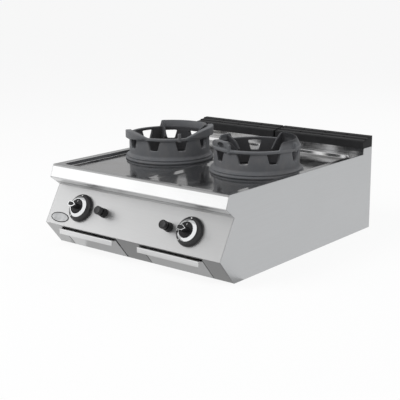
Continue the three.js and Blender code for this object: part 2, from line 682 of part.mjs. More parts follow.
// Cast mixing chamber with its venturi running to the front, a shelf for the pilot group and a foot.
const burnerBody = () => {
  const cup = turned([[0, 197], [22, 197], [30, 234], [44, 238], [HEAD.radius - 4, 250], [HEAD.radius - 4, HEAD.seat],
    [HEAD.radius - 12, HEAD.seat], [HEAD.radius - 14, 254], [0, 242]], 16);
  const foot = disc(22, BRACE.high + GAP * 2 + 2.5, 199, SMALL);
  const start = VENTURI.front - STATION_Y;
  const tube = pipe([[0, 4, VENTURI.z], [0, start + 26, VENTURI.z]], VENTURI.radius, 5, 3);
  const mouth = turned([[12, 0], [VENTURI.mouth, 0], [VENTURI.mouth, 8], [VENTURI.radius, 34], [10, 34], [12, 0]], SMALL);
  const lie = new THREE.Matrix4().makeRotationX(-Math.PI / 2);
  const placed = moved(moved(mouth, lie), at(0, start, VENTURI.z));
  const shelf = cut(
    ring(40, SHELF.reach - 2, SHELF.low, SHELF.high, 16),
    block([-200, 200], [-30, 200], [0, 400]),
    block([-200, -40], [-200, 200], [0, 400]),
    block([40, 200], [-200, 200], [0, 400]),
  );
  return join(cup, foot, tube, placed, shelf);
};

// Lift-off port ring: domed, with flame slots cut round its edge and an inner crown of ports.
const burnerCap = () => {
  const low = HEAD.seat + GAP;
  const dome = turned([[0, low], [HEAD.radius, low], [HEAD.radius, low + 12], [HEAD.radius - 6, HEAD.top - 3],
    [40, HEAD.top], [34, HEAD.top - 6], [22, HEAD.top - 6], [18, HEAD.top + 2], [0, HEAD.top + 2]]);
  const slots = [];
  for (let i = 0; i < HEAD.ports; i++) {
    const slot = block([HEAD.radius - 8, HEAD.radius + 6], [-1.8, 1.8], [low + 5, low + 10]);
    slots.push(moved(slot, turnedZ((i * 360) / HEAD.ports)));
  }
  return cut(dome, ...slots);
};

// Pilot group standing on the shelf: flame hood, spark rod and flame probe.
const pilotBurner = () => moved(turned([[0, 0], [4.5, 0], [4.5, 26], [6, 27], [6, 33], [0, 33]], 8),
  at(0, -73, SHELF.high + GAP));
const sparkElectrode = () => moved(turned([[0, 0], [4, 0], [4, 22], [1.4, 24], [1.4, 36], [0, 36]], 8),
  at(26, -66, SHELF.high + GAP));
const flameProbe = () => moved(turned([[0, 0], [4.5, 0], [4.5, 8], [3, 10], [3, 34], [1.6, 37], [0, 37]], 8),
  at(-26, -66, SHELF.high + GAP));

// ---------------------------------------------------------------- gas train
const VALVE = { rear: -52, drop: -60 };
const FEED = { radius: 5, rise: VENTURI.z, y: -348, end: VENTURI.front - 2 };

// Pipe that feeds both valves: from the rear union along the left side, then along behind the panel.
const gasManifold = () => pipe(
  [[MANIFOLD.x, REAR + 6, MANIFOLD.z], [MANIFOLD.x, MANIFOLD.y, MANIFOLD.z], [MANIFOLD.end, MANIFOLD.y, MANIFOLD.z]],
  MANIFOLD.radius,
  24,
  5,
);

const gasUnion = () => {
  const nut = disc(UNION.radius, 0, 12, 6);
  const spigot = ring(7, 10.5, 11, UNION.length, SMALL);
  const clear = [disc(7, 7, 40, SMALL), disc(MANIFOLD.radius + GAP, -1, 7, SMALL)];
  const collar = cut(join(nut, ring(6, 10.5, 5, 14, SMALL)), ...clear);
  const lie = new THREE.Matrix4().makeRotationX(-Math.PI / 2);
  return moved(moved(join(collar, spigot), lie), at(MANIFOLD.x, REAR + GAP, MANIFOLD.z));
};

// Tap body clamped to the pipe by the saddle under it.
const gasValve = () => {
  const body = disc(20, VALVE.rear, -SHEET - 9, SMALL);
  const neck = ring(7.5, 12, -SHEET - 9.5, -SHEET - GAP, SMALL);
  const saddle = block([-15, 15], [VALVE.drop, 4], [VALVE.rear + 4, VALVE.rear + 30]);
  return cut(join(body, neck, saddle), disc(6, VALVE.rear + 4, 5, SMALL));
};

const placedValve = (x) => {
  const bore = new THREE.CylinderGeometry(MANIFOLD.radius + GAP, MANIFOLD.radius + GAP, 60, SMALL);
  const clear = solid(bore.rotateZ(Math.PI / 2).translate(x, MANIFOLD.y, MANIFOLD.z));
  return moved(gasValve(), controlFrame(x)).subtract(clear);
};

// Copper pipe from a valve up and across to the mouth of its venturi, with the jet on its end.
const feedPipe = (side) => {
  const start = new THREE.Vector3(0, 0, VALVE.rear - GAP).applyMatrix4(controlFrame(side * KNOB_X));
  const elbow = new THREE.Vector3(0, 0, VALVE.rear - 34).applyMatrix4(controlFrame(side * KNOB_X));
  const x = side * STATION_X;
  const run = pipe(
    [start.toArray(), elbow.toArray(), [side * KNOB_X, elbow.y, FEED.rise], [x, elbow.y, FEED.rise],
      [x, FEED.end, FEED.rise]],
    FEED.radius,
    13,
    3,
  );
  const jet = block([x - 6.5, x + 6.5], [FEED.end - 20, FEED.end - 4], [FEED.rise - 6.5, FEED.rise + 6.5]);
  return join(run, jet);
};

// ---------------------------------------------------------------- controls
const bezel = () => turned([[BEZEL.bore, GAP], [BEZEL.radius - 1, GAP], [BEZEL.radius, 1.5], [BEZEL.radius, 6],
  [BEZEL.radius - 2, 11], [BEZEL.radius - 6, 15], [BEZEL.shoulder, BEZEL.height], [BEZEL.bore, BEZEL.height],
  [BEZEL.bore, GAP]]);

// Bright cone that closes the bezel in to the knob's face.
const bezelRing = () => {
  const low = BEZEL.height + GAP;
  const high = BEZEL.height + BEZEL.cone;
  return turned([[BEZEL.bore - 0.5, low], [BEZEL.shoulder - 1, low], [BEZEL.shoulder - 1, low + 1.5],
    [BEZEL.bore + 0.5, high], [BEZEL.bore - 0.5, high], [BEZEL.bore - 0.5, low]]);
};

// The knob's bar grip lies across the panel: blunt at one end, pointed at the other.
const gripBar = (inset, low, high) => {
  const waist = KNOB.halfWaist - inset;
  const blunt = KNOB.halfGrip - inset;
  const point = KNOB.halfGrip - inset * 1.8;
  const outline = [[-blunt, -waist * 0.6], [-blunt * 0.7, -waist], [point * 0.35, -waist], [point, 0],
    [point * 0.35, waist], [-blunt * 0.7, waist], [-blunt, waist * 0.6]];
  return solid(extruded(shapeOf(outline), high - low).translate(0, 0, low));
};

// Push-and-turn knob: a disc sunk in the bezel and a bar grip standing on it.
const knob = () => {
  const face = turned([[0, KNOB.foot], [KNOB.disc, KNOB.foot], [KNOB.disc, KNOB.face - 2],
    [KNOB.disc - 2, KNOB.face], [0, KNOB.face]]);
  const trimFoot = KNOB.tip - KNOB.trim;
  const bar = gripBar(0, KNOB.face - 2, trimFoot - GAP);
  const core = gripBar(KNOB.trim / 2 + GAP, trimFoot - 1, KNOB.tip - 0.5);
  return cut(join(face, bar, core), disc(4.6, KNOB.foot - 1, KNOB.foot + 16, SMALL));
};

// Bright trim round the end of the grip.
const knobCap = () => cut(gripBar(0, KNOB.tip - KNOB.trim, KNOB.tip), gripBar(KNOB.trim / 2, 0, KNOB.tip + 9));

// Spindle turned by the knob; its foot presses the valve's safety magnet.
const valveSpindle = () => disc(4.3, -36, KNOB.foot + 15, SMALL);
const valvePlunger = () => disc(5, -41, -36 - GAP, SMALL);

const igniterCollar = () => turned([[IGNITER.neck + 1, GAP], [IGNITER.collar, GAP], [IGNITER.collar, 7],
  [IGNITER.collar - 1.5, 9], [IGNITER.collar - 1.5, IGNITER.collarHeight - 1], [IGNITER.collar - 2.5, IGNITER.collarHeight],
  [IGNITER.neck + 1, IGNITER.collarHeight], [IGNITER.neck + 1, GAP]], 14);

const igniterButton = () => turned([[0, IGNITER.collarHeight - 12], [IGNITER.neck, IGNITER.collarHeight - 12],
  [IGNITER.neck, IGNITER.collarHeight + 7], [IGNITER.button, IGNITER.collarHeight + 7],
  [IGNITER.button, IGNITER.tip - 2.5], [IGNITER.button - 2.5, IGNITER.tip],
  [0, IGNITER.tip]], 14);

const igniterBody = () => join(disc(IGNITER.neck, -40, 0, SMALL), ring(4, 15, -9, -SHEET - GAP, SMALL));

// ---------------------------------------------------------------- assembly
addPart("left_side_panel", solid(geometryOf(sidePanel()).applyMatrix4(new THREE.Matrix4().makeScale(-1, 1, 1))), "brushed");
addPart("right_side_panel", sidePanel(), "brushed");
addPart("base_plate", basePlate(), "galvanised");
addPart("rear_panel", rearPanel(), "galvanised");
addPart("worktop", worktop(), "polished");
addPart("control_panel", controlPanel(), "brushed");
addPart("lower_front", lowerFront(), "brushed");
addPart("flue_duct", flueDuct(), "galvanised");
addPart("front_cross_brace", crossBrace(BRACE.front), "galvanised");
addPart("rear_cross_brace", crossBrace(BRACE.rear), "galvanised");
addPart("gas_manifold", gasManifold(), "galvanised");
addPart("gas_union", gasUnion(), "brass");

const STATIONS = [
  { name: "left", side: -1 },
  { name: "right", side: 1 },
];

STATIONS.forEach(({ name, side }) => {
  const station = at(side * STATION_X, STATION_Y, 0);
  const knobPlace = controlFrame(side * KNOB_X);
  const igniterPlace = controlFrame(IGNITER_X[name]);

  addPart(`${name}_flue_cover`, flueCover(side), "blackIron");
  addPart(`${name}_wok_ring`, wokRing(name), "castIron");
  addPart(`${name}_burner_bowl`, moved(burnerBowl(), station), "polished");
  addPart(`${name}_burner_body`, moved(burnerBody(), station), "castIron");
  addPart(`${name}_burner_cap`, moved(burnerCap(), station), "brass");
  addPart(`${name}_burner_strap`, burnerStrap(side), "galvanised");
  addPart(`${name}_pilot_burner`, moved(pilotBurner(), station), "brass");
  addPart(`${name}_spark_electrode`, moved(sparkElectrode(), station), "ceramic");
  addPart(`${name}_flame_probe`, moved(flameProbe(), station), "copper");

  addPart(`${name}_drawer_front`, drawerFront(side), "brushed");
  addPart(`${name}_drawer_tray`, drawerTray(side), "galvanised");
  const [x0, x1] = drawerSpan(side);
  addPart(`${name}_drawer_rail_a`, drawerRail(x0 + 2.5, 1), "galvanised");
  addPart(`${name}_drawer_rail_b`, drawerRail(x1 - 2.5, -1), "galvanised");

  addPart(`${name}_bezel`, moved(bezel(), knobPlace), "blackPlastic");
  addPart(`${name}_bezel_ring`, moved(bezelRing(), knobPlace), "chrome");
  addPart(`${name}_knob`, moved(knob(), knobPlace), "blackPlastic");
  addPart(`${name}_knob_cap`, moved(knobCap(), knobPlace), "chrome");
  addPart(`${name}_valve_spindle`, moved(valveSpindle(), knobPlace), "brass");
  addPart(`${name}_valve_plunger`, moved(valvePlunger(), knobPlace), "brass");
  addPart(`${name}_gas_valve`, placedValve(side * KNOB_X), "brass");
  addPart(`${name}_feed_pipe`, feedPipe(side), "copper");

  addPart(`${name}_igniter_collar`, moved(igniterCollar(), igniterPlace), "blackPlastic");
  addPart(`${name}_igniter_button`, moved(igniterButton(), igniterPlace), "blackPlastic");
  addPart(`${name}_igniter_body`, moved(igniterBody(), igniterPlace), "blackPlastic");
});

export default range;
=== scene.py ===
"""Looks of a counter-top gas wok range: steel casing, cast wok rings, controls and burners.

Every piece is made in metres in the frame's own axes: +X to the cook's right, +Y to the back, +Z up.
Sizes are written in millimetres, as a maker would, and turned to metres where the mesh is made.
"""

from __future__ import annotations

import logging
import math
from contextlib import contextmanager
from dataclasses import dataclass, field
from enum import Enum
from typing import Any, Iterable, Iterator, Sequence

import bmesh
import bpy
from mathutils import Matrix, Vector
from mathutils.geometry import tessellate_polygon


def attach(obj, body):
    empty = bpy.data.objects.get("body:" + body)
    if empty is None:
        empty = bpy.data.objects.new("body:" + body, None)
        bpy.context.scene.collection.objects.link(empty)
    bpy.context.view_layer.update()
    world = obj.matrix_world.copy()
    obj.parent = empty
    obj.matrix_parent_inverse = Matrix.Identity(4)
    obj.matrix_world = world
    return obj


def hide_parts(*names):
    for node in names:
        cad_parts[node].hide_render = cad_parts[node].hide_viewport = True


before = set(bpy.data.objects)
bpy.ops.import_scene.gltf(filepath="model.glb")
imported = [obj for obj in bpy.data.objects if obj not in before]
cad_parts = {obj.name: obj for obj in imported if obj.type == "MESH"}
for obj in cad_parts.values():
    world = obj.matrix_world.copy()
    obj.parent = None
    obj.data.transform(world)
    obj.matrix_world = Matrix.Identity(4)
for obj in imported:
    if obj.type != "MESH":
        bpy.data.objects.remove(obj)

LOG = logging.getLogger("wok_range")
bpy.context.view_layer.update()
MM = 0.001

Point2 = tuple[float, float]
Point3 = tuple[float, float, float]
Colour = tuple[float, float, float]
Piece = bpy.types.Object
Plug = bpy.types.NodeSocket

# Sizes shared by several sub-assemblies, in millimetres.
SHEET = 2.0
INNER_HALF = 397.7
TOP = 293.0
WELL_FLOOR = 280.0
SEAT_TOP = 280.0
STATION_X = 207.0
STATION_Y = -10.0
KNOB_X = 250.0
IGNITER_X = {"left": -137.0, "right": 160.0}
DRAWER_PLAY = {"left": 5.0, "right": 0.0}
REAR_FACE = 467.0
FRONT_FOOT = -394.0
PANEL_FOOT = (-465.0, 87.0)
PANEL_TOP = (-392.0, 215.0)
CONTROL_RISE = 75.0
SIDES = (("left", -1.0), ("right", 1.0))


# ---------------------------------------------------------------- outlines and plain mesh shapes
def fillet(points: Sequence[Point2], radii: float | Sequence[float], closed: bool = False,
           steps: int = 4) -> list[Point2]:
    """Rounds the corners of a flat outline.

    Args:
        points: The outline's corners in order.
        radii: One radius for every corner, or one for each; 0 keeps a corner sharp.
        closed: Whether the last corner joins the first.
        steps: Straight pieces in each rounded corner.

    Returns:
        The outline with each rounded corner as a short run of points.
    """
    count = len(points)
    sizes = [radii] * count if isinstance(radii, (int, float)) else list(radii)
    result: list[Point2] = []
    for index, here in enumerate(points):
        at_end = not closed and index in (0, count - 1)
        if at_end or sizes[index] <= 0:
            result.append(here)
            continue
        corner = Vector(here)
        before = Vector(points[index - 1]) - corner
        after = Vector(points[(index + 1) % count]) - corner
        half = before.angle(after) / 2
        reach = min(sizes[index] / max(math.tan(half), 1e-6), before.length * 0.49, after.length * 0.49)
        start = corner + before.normalized() * reach
        end = corner + after.normalized() * reach
        for step in range(steps + 1):
            share = step / steps
            bend = start.lerp(corner, share).lerp(corner.lerp(end, share), share)
            result.append((bend.x, bend.y))
    return result


def rounded_rect(x0: float, x1: float, y0: float, y1: float, radius: float, steps: int = 10) -> list[Point2]:
    """Gives a rectangle with round corners, anticlockwise from its lower right corner.

    Args:
        x0: Left edge.
        x1: Right edge.
        y0: Lower edge.
        y1: Upper edge.
        radius: Corner radius.
        steps: Straight pieces in each corner.

    Returns:
        The outline's points.
    """
    centres = ((x1 - radius, y0 + radius, -90), (x1 - radius, y1 - radius, 0),
               (x0 + radius, y1 - radius, 90), (x0 + radius, y0 + radius, 180))
    points: list[Point2] = []
    for cx, cy, first in centres:
        for step in range(steps + 1):
            angle = math.radians(first + 90 * step / steps)
            points.append((cx + radius * math.cos(angle), cy + radius * math.sin(angle)))
    return points


@dataclass
class Shape:
    """A plain polygon shape in millimetres."""

    verts: list[Point3] = field(default_factory=list)
    faces: list[tuple[int, ...]] = field(default_factory=list)

    def __add__(self, other: Shape) -> Shape:
        """Puts two shapes side by side in one."""
        shift = len(self.verts)
        moved = [tuple(index + shift for index in face) for face in other.faces]
        return Shape(self.verts + other.verts, self.faces + moved)

    def moved(self, matrix: Matrix) -> Shape:
        """Carries the shape by a matrix in millimetres."""
        return Shape([tuple(matrix @ Vector(vert)) for vert in self.verts], self.faces)


def together(shapes: Iterable[Shape]) -> Shape:
    """Puts any number of shapes side by side in one."""
    return sum(shapes, Shape())


def skin(loops: Sequence[Sequence[Point3]], ring: bool = True, ends: bool = False) -> Shape:
    """Stretches quads over loops of equal length.

    Args:
        loops: The loops in order.
        ring: Whether each loop closes on itself.
        ends: Whether the first and the last loop are capped.

    Returns:
        The skinned shape.
    """
    count = len(loops[0])
    verts = [tuple(point) for loop in loops for point in loop]
    span = count if ring else count - 1
    faces: list[tuple[int, ...]] = []
    for level in range(len(loops) - 1):
        for i in range(span):
            a = level * count + i
            b = level * count + (i + 1) % count
            faces.append((a, b, b + count, a + count))
    if ends:
        faces.append(tuple(range(count))[::-1])
        last = (len(loops) - 1) * count
        faces.append(tuple(range(last, last + count)))
    return Shape(verts, faces)


def lathe(profile: Sequence[Point2], segments: int = 96, closed: bool = False) -> Shape:
    """Turns a [radius, height] profile about the vertical axis; a closed one ends where it starts."""
    profile = [*profile, profile[0]] if closed else profile
    loops = []
    for step in range(segments):
        angle = 2 * math.pi * step / segments
        loops.append([(r * math.cos(angle), r * math.sin(angle), z) for r, z in profile])
    count = len(profile)
    shape = skin(loops, ring=False)
    last = (segments - 1) * count
    closing = [(last + i, last + i + 1, i + 1, i) for i in range(count - 1)]
    return Shape(shape.verts, shape.faces + closing)


def across(outline: Sequence[Point2], x0: float, x1: float, closed: bool = True) -> Shape:
    """Sweeps a [depth, height] outline along X; a closed one is capped, an open one stays a single skin."""
    return skin([[(x, y, z) for y, z in outline] for x in (x0, x1)], ring=closed, ends=closed)


def at_height(outline: Iterable[Point2], z: float) -> list[Point3]:
    """Lifts a plan outline to a height."""
    return [(x, y, z) for x, y in outline]


def prism(outline: Sequence[Point2], z0: float, z1: float) -> Shape:
    """Raises a closed plan outline from z0 to z1."""
    return skin([at_height(outline, z) for z in (z0, z1)], ends=True)


def flat_with_holes(outer: Sequence[Sequence[float]], holes: Sequence[Sequence[Point2]], z: float) -> Shape:
    """Fills a flat outline around its holes at one height."""
    rings = [[Vector((point[0], point[1], 0)) for point in ring] for ring in (outer, *holes)]
    verts = [(point.x, point.y, z) for ring in rings for point in ring]
    return Shape(verts, [tuple(face) for face in tessellate_polygon(rings)])


def circle(radius: float, cx: float = 0.0, cy: float = 0.0, count: int = 96) -> list[Point2]:
    """Gives the points of a circle."""
    turn = 2 * math.pi / count
    return [(cx + radius * math.cos(i * turn), cy + radius * math.sin(i * turn)) for i in range(count)]


def panel_matrix(x: float, rise: float = CONTROL_RISE) -> Matrix:
    """Gives the place of a control: X across, Y up the sloping panel, Z out of it, in millimetres."""
    slope = Vector((0, PANEL_TOP[0] - PANEL_FOOT[0], PANEL_TOP[1] - PANEL_FOOT[1])).normalized()
    side = Vector((1, 0, 0))
    out = side.cross(slope)
    origin = Vector((x, PANEL_FOOT[0], PANEL_FOOT[1])) + slope * rise
    rows = [(side[i], slope[i], out[i], origin[i]) for i in range(3)]
    return Matrix((*rows, (0, 0, 0, 1)))


def place(x: float = 0.0, y: float = 0.0, z: float = 0.0) -> Matrix:
    """Gives a plain shift in millimetres."""
    return Matrix.Translation((x, y, z))


def turned(degrees: float, axis: str = "Z") -> Matrix:
    """Gives a turn about an axis through the origin."""
    return Matrix.Rotation(math.radians(degrees), 4, axis)


# ---------------------------------------------------------------- objects
def linked(name: str, data: bpy.types.ID) -> Piece:
    """Puts mesh, camera or light data in the scene as an object."""
    made = bpy.data.objects.new(name, data)
    bpy.context.scene.collection.objects.link(made)
    return made


@contextmanager
def reworked(mesh: bpy.types.Mesh) -> Iterator[bmesh.types.BMesh]:
    """Opens a mesh for work, and writes it back."""
    work = bmesh.new()
    work.from_mesh(mesh)
    yield work
    work.to_mesh(mesh)
    work.free()


def mesh_object(name: str, shape: Shape) -> Piece:
    """Makes a Blender object of a shape, in metres, with doubled points merged and faces outward."""
    mesh = bpy.data.meshes.new(name)
    mesh.from_pydata([tuple(value * MM for value in vert) for vert in shape.verts], [], shape.faces)
    with reworked(mesh) as work:
        bmesh.ops.remove_doubles(work, verts=work.verts, dist=2e-6)
        bmesh.ops.dissolve_degenerate(work, dist=1e-7, edges=work.edges)
        bmesh.ops.recalc_face_normals(work, faces=work.faces)
    return linked(name, mesh)


def modified(piece: Piece, kind: str, **settings: Any) -> Piece:
    """Adds a modifier and sets it.

    Args:
        piece: The object.
        kind: Blender's name for the modifier's type.
        **settings: The modifier's own properties.

    Returns:
        The same object.
    """
    modifier = piece.modifiers.new(kind.title(), kind)
    for key, value in settings.items():
        setattr(modifier, key, value)
    return piece


def settled(piece: Piece) -> Piece:
    """Turns an object's modifiers into plain mesh."""
    graph = bpy.context.evaluated_depsgraph_get()
    graph.update()
    plain = bpy.data.meshes.new_from_object(piece.evaluated_get(graph))
    piece.modifiers.clear()
    piece.data = plain
    return piece


def smooth(piece: Piece, degrees: float = 35.0) -> Piece:
    """Shades the faces smooth, with sharp edges where they meet at more than an angle."""
    piece.data.shade_smooth()
    piece.data.set_sharp_from_angle(angle=math.radians(degrees))
    return piece


def flat_faced(piece: Piece) -> Piece:
    """Lets the large faces keep their own normals, so that flat sheet mirrors as flat."""
    modified(piece, "WEIGHTED_NORMAL", mode="FACE_AREA", weight=100, keep_sharp=True)
    return settled(piece)


def eased(piece: Piece, width: float, segments: int = 2, degrees: float = 30.0) -> Piece:
    """Rounds an object's sharp edges by a width in millimetres."""
    modified(piece, "BEVEL", width=width * MM, segments=segments, limit_method="ANGLE",
             angle_limit=math.radians(degrees), use_clamp_overlap=True, harden_normals=False)
    return flat_faced(smooth(settled(piece)))


def cut_from(piece: Piece, tool: Piece) -> Piece:
    """Takes one closed object out of another and removes the tool."""
    modified(piece, "BOOLEAN", operation="DIFFERENCE", object=tool, solver="EXACT")
    settled(piece)
    bpy.data.objects.remove(tool)
    return piece


def node_copy(node: str, name: str) -> Piece:
    """Copies a frame node with its points merged and its flat faces joined up."""
    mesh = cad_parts[node].data.copy()
    mesh.materials.clear()
    with reworked(mesh) as work:
        bmesh.ops.remove_doubles(work, verts=work.verts, dist=1e-5)
        bmesh.ops.dissolve_limit(work, angle_limit=math.radians(0.6), verts=work.verts, edges=work.edges)
    return linked(name, mesh)


# ---------------------------------------------------------------- shader and node tools
EVEN = (1.0, 1.0, 1.0)
WHITE = (1.0, 1.0, 1.0, 1.0)


class Socket:
    """A shader value that takes part in plain arithmetic."""

    def __init__(self, tree: Tree, out: Plug) -> None:
        """Keeps the output socket and the tree it belongs to."""
        self.tree = tree
        self.out = out

    def _math(self, operation: str, first: Any, second: Any = 0.0) -> Socket:
        """Adds one Math node."""
        node = self.tree.node("ShaderNodeMath", {"operation": operation}, {0: first, 1: second})
        return Socket(self.tree, node.outputs[0])

    def __add__(self, other: Any) -> Socket:
        """Adds."""
        return self._math("ADD", self, other)

    def __radd__(self, other: Any) -> Socket:
        """Adds, reflected."""
        return self._math("ADD", other, self)

    def __sub__(self, other: Any) -> Socket:
        """Subtracts."""
        return self._math("SUBTRACT", self, other)

    def __rsub__(self, other: Any) -> Socket:
        """Subtracts, reflected."""
        return self._math("SUBTRACT", other, self)

    def __mul__(self, other: Any) -> Socket:
        """Multiplies."""
        return self._math("MULTIPLY", self, other)

    def __rmul__(self, other: Any) -> Socket:
        """Multiplies, reflected."""
        return self._math("MULTIPLY", other, self)

    def most(self, other: Any) -> Socket:
        """Gives the larger of two values."""
        return self._math("MAXIMUM", self, other)


class Tree:
    """A node tree that is being written."""

    def __init__(self, tree: bpy.types.NodeTree) -> None:
        """Keeps the tree."""
        self.tree = tree

    def node(self, kind: str, settings: dict[str, Any] | None = None,
             inputs: dict[Any, Any] | None = None) -> bpy.types.Node:
        """Adds a node.

        Args:
            kind: The node's type.
            settings: Properties set before its sockets.
            inputs: Socket values or links, by name or number.

        Returns:
            The node.
        """
        made = self.tree.nodes.new(kind)
        for key, value in (settings or {}).items():
            setattr(made, key, value)
        for key, value in (inputs or {}).items():
            self.feed(made.inputs[key], value)
        return made

    def feed(self, target: Plug, value: Any) -> None:
        """Links or sets one input socket."""
        if isinstance(value, Socket):
            value = value.out
        if isinstance(value, bpy.types.NodeSocket):
            self.tree.links.new(value, target)
        else:
            target.default_value = value

    def looked_at(self) -> Socket:
        """Gives 1 for the rays of the camera, gloss and glass, and 0 for plain light."""
        path = self.node("ShaderNodeLightPath")
        camera, gloss, glass = (Socket(self, path.outputs[name]) for name in
                                ("Is Camera Ray", "Is Glossy Ray", "Is Transmission Ray"))
        return camera.most(gloss).most(glass)


class Recipe(Tree):
    """The node tree of one material."""

    def __init__(self, name: str) -> None:
        """Starts an empty material with a surface shader."""
        self.material = bpy.data.materials.new(name)
        self.material.use_nodes = True
        super().__init__(self.material.node_tree)
        self.tree.nodes.clear()
        self.shader = self.node("ShaderNodeBsdfPrincipled")
        self.output = self.node("ShaderNodeOutputMaterial", None, {"Surface": self.shader.outputs[0]})
        self._coordinates: bpy.types.Node | None = None

    def surface(self, **values: Any) -> None:
        """Sets the surface shader's sockets, with underscores for the spaces of their names."""
        for key, value in values.items():
            self.feed(self.shader.inputs[key.replace("_", " ")], value)

    def coordinates(self, scale: Point3 = EVEN) -> Plug:
        """Gives object coordinates stretched by a scale for each axis."""
        if self._coordinates is None:
            self._coordinates = self.node("ShaderNodeTexCoord")
        return self.node("ShaderNodeMapping", None, {
            "Vector": self._coordinates.outputs["Object"], "Scale": scale}).outputs[0]

    def noise(self, scale: float, detail: float = 3.0, roughness: float = 0.5, stretch: Point3 = EVEN) -> Socket:
        """Gives a noise value between 0 and 1."""
        made = self.node("ShaderNodeTexNoise", None, {
            "Vector": self.coordinates(stretch), "Scale": scale, "Detail": detail, "Roughness": roughness})
        return Socket(self, made.outputs[0])

    def cell_tone(self, scale: float) -> Socket:
        """Gives one random value for each cell."""
        made = self.node("ShaderNodeTexVoronoi", None, {"Vector": self.coordinates(), "Scale": scale})
        split = self.node("ShaderNodeSeparateColor", None, {0: made.outputs["Color"]})
        return Socket(self, split.outputs[0])

    def blend(self, share: Any, first: Plug | Sequence[float], second: Sequence[float]) -> Plug:
        """Mixes a colour, or a socket that gives one, with a second colour."""
        base = first if isinstance(first, bpy.types.NodeSocket) else (*first, 1.0)
        return self.node("ShaderNodeMix", {"data_type": "RGBA"}, {
            0: share, 6: base, 7: (*second, 1.0)}).outputs[2]

    def away_from(self, x: float, y: float) -> Socket:
        """Gives the distance from an upright axis, in metres."""
        out = self.coordinates()
        for operation, value in (("SUBTRACT", (x, y, 0.0)), ("MULTIPLY", (1.0, 1.0, 0.0))):
            out = self.node("ShaderNodeVectorMath", {"operation": operation}, {0: out, 1: value}).outputs[0]
        length = self.node("ShaderNodeVectorMath", {"operation": "LENGTH"}, {0: out})
        return Socket(self, length.outputs["Value"])

    def ramp(self, value: Socket, low: float, high: float, to_low: float = 0.0, to_high: float = 1.0) -> Socket:
        """Stretches a value from one range to another, held at its ends."""
        made = self.node("ShaderNodeMapRange", {"clamp": True}, {
            0: value, 1: low, 2: high, 3: to_low, 4: to_high})
        return Socket(self, made.outputs[0])

    def whiten(self, share: float) -> None:
        """Mixes plain white over the surface for the camera, gloss and glass, and leaves its shadow showing."""
        seen = self.looked_at()
        white = self.node("ShaderNodeEmission", None, {"Color": WHITE, "Strength": 1.0})
        mix = self.node("ShaderNodeMixShader", None, {
            0: seen * share, 1: self.shader.outputs[0], 2: white.outputs[0]})
        self.feed(self.output.inputs["Surface"], mix.outputs[0])

    def bump(self, height: Socket, distance: float, strength: float = 1.0) -> Plug:
        """Turns a height into a surface normal."""
        return self.node("ShaderNodeBump", None, {
            "Height": height, "Distance": distance, "Strength": strength}).outputs[0]


# ---------------------------------------------------------------- finishes
# Near black for flame blackening, which also paints the shade inside the wok rings.
SOOT_AND_SHADE = (0.026, 0.026, 0.029)
FINISHED: dict[str, bpy.types.Material] = {}


class Grain(Enum):
    """Direction of the brush lines on sheet, as the stretch of the pattern on each axis."""

    ACROSS = (0.006, 1.0, 1.0)
    DEPTH = (1.0, 0.006, 1.0)


@dataclass(frozen=True)
class Finish:
    """What all finishes share: a name, a slot name and the way to the material."""

    name: str
    slot: str

    def build(self, recipe: Recipe) -> None:
        """Fills the material's tree; each finish has its own."""
        raise NotImplementedError

    def material(self) -> bpy.types.Material:
        """Gives the material, made once."""
        if self.name not in FINISHED:
            recipe = Recipe(self.name)
            self.build(recipe)
            FINISHED[self.name] = recipe.material
        return FINISHED[self.name]


def toned(colour: Sequence[float], *shares: float) -> Colour:
    """Multiplies a colour by one share, or by a share for each channel."""
    return tuple(value * share for value, share in zip(colour, shares * (3 // len(shares))))


@dataclass(frozen=True)
class BrushedSteel(Finish):
    """Satin stainless sheet with fine lines in one direction and faint hand marks."""

    grain: Grain = Grain.ACROSS
    tone: float = 0.64
    roughness: float = 0.3
    cool: float = 1.0
    line_depth: float = 0.000012

    def build(self, recipe: Recipe) -> None:
        """Mixes two widths of brush line with broad clouds of wear."""
        fine = recipe.noise(2600.0, 2.0, 0.6, self.grain.value)
        broad = recipe.noise(420.0, 3.0, 0.55, self.grain.value)
        cloud = recipe.noise(5.5, 4.0, 0.6)
        lines = fine * 0.6 + broad * 0.4
        share = recipe.ramp(lines, 0.3, 0.7)
        tone = (self.tone, self.tone * self.cool, self.tone * self.cool ** 2)
        recipe.surface(
            Base_Color=recipe.blend(share, toned(tone, 0.95), toned(tone, 1.04, 1.045, 1.05)),
            Metallic=1.0,
            Roughness=lines * 0.16 + cloud * 0.09 + (self.roughness - 0.12),
            Normal=recipe.bump(lines, self.line_depth, 0.6),
        )


@dataclass(frozen=True)
class PolishedSteel(Finish):
    """Bright drawn stainless, slightly wavy, with cleaning swirls and heat tint."""

    tone: float = 0.60
    roughness: float = 0.1
    heat: float = 0.25

    def build(self, recipe: Recipe) -> None:
        """Lays smudges and a faint straw tint over a near mirror."""
        waves = recipe.noise(9.0, 2.0, 0.4)
        swirl = recipe.noise(85.0, 4.0, 0.65, (1.0, 0.25, 1.0))
        smudge = recipe.ramp(recipe.noise(14.0, 5.0, 0.6), 0.42, 0.78)
        tone = (self.tone,) * 3
        recipe.surface(
            Base_Color=recipe.blend(smudge * self.heat, toned(tone, 1.0, 1.0, 1.01), toned(tone, 0.92, 0.85, 0.74)),
            Metallic=1.0,
            Roughness=swirl * 0.07 + smudge * 0.1 + (self.roughness - 0.03),
            Normal=recipe.bump(waves, 0.0007, 0.25),
        )


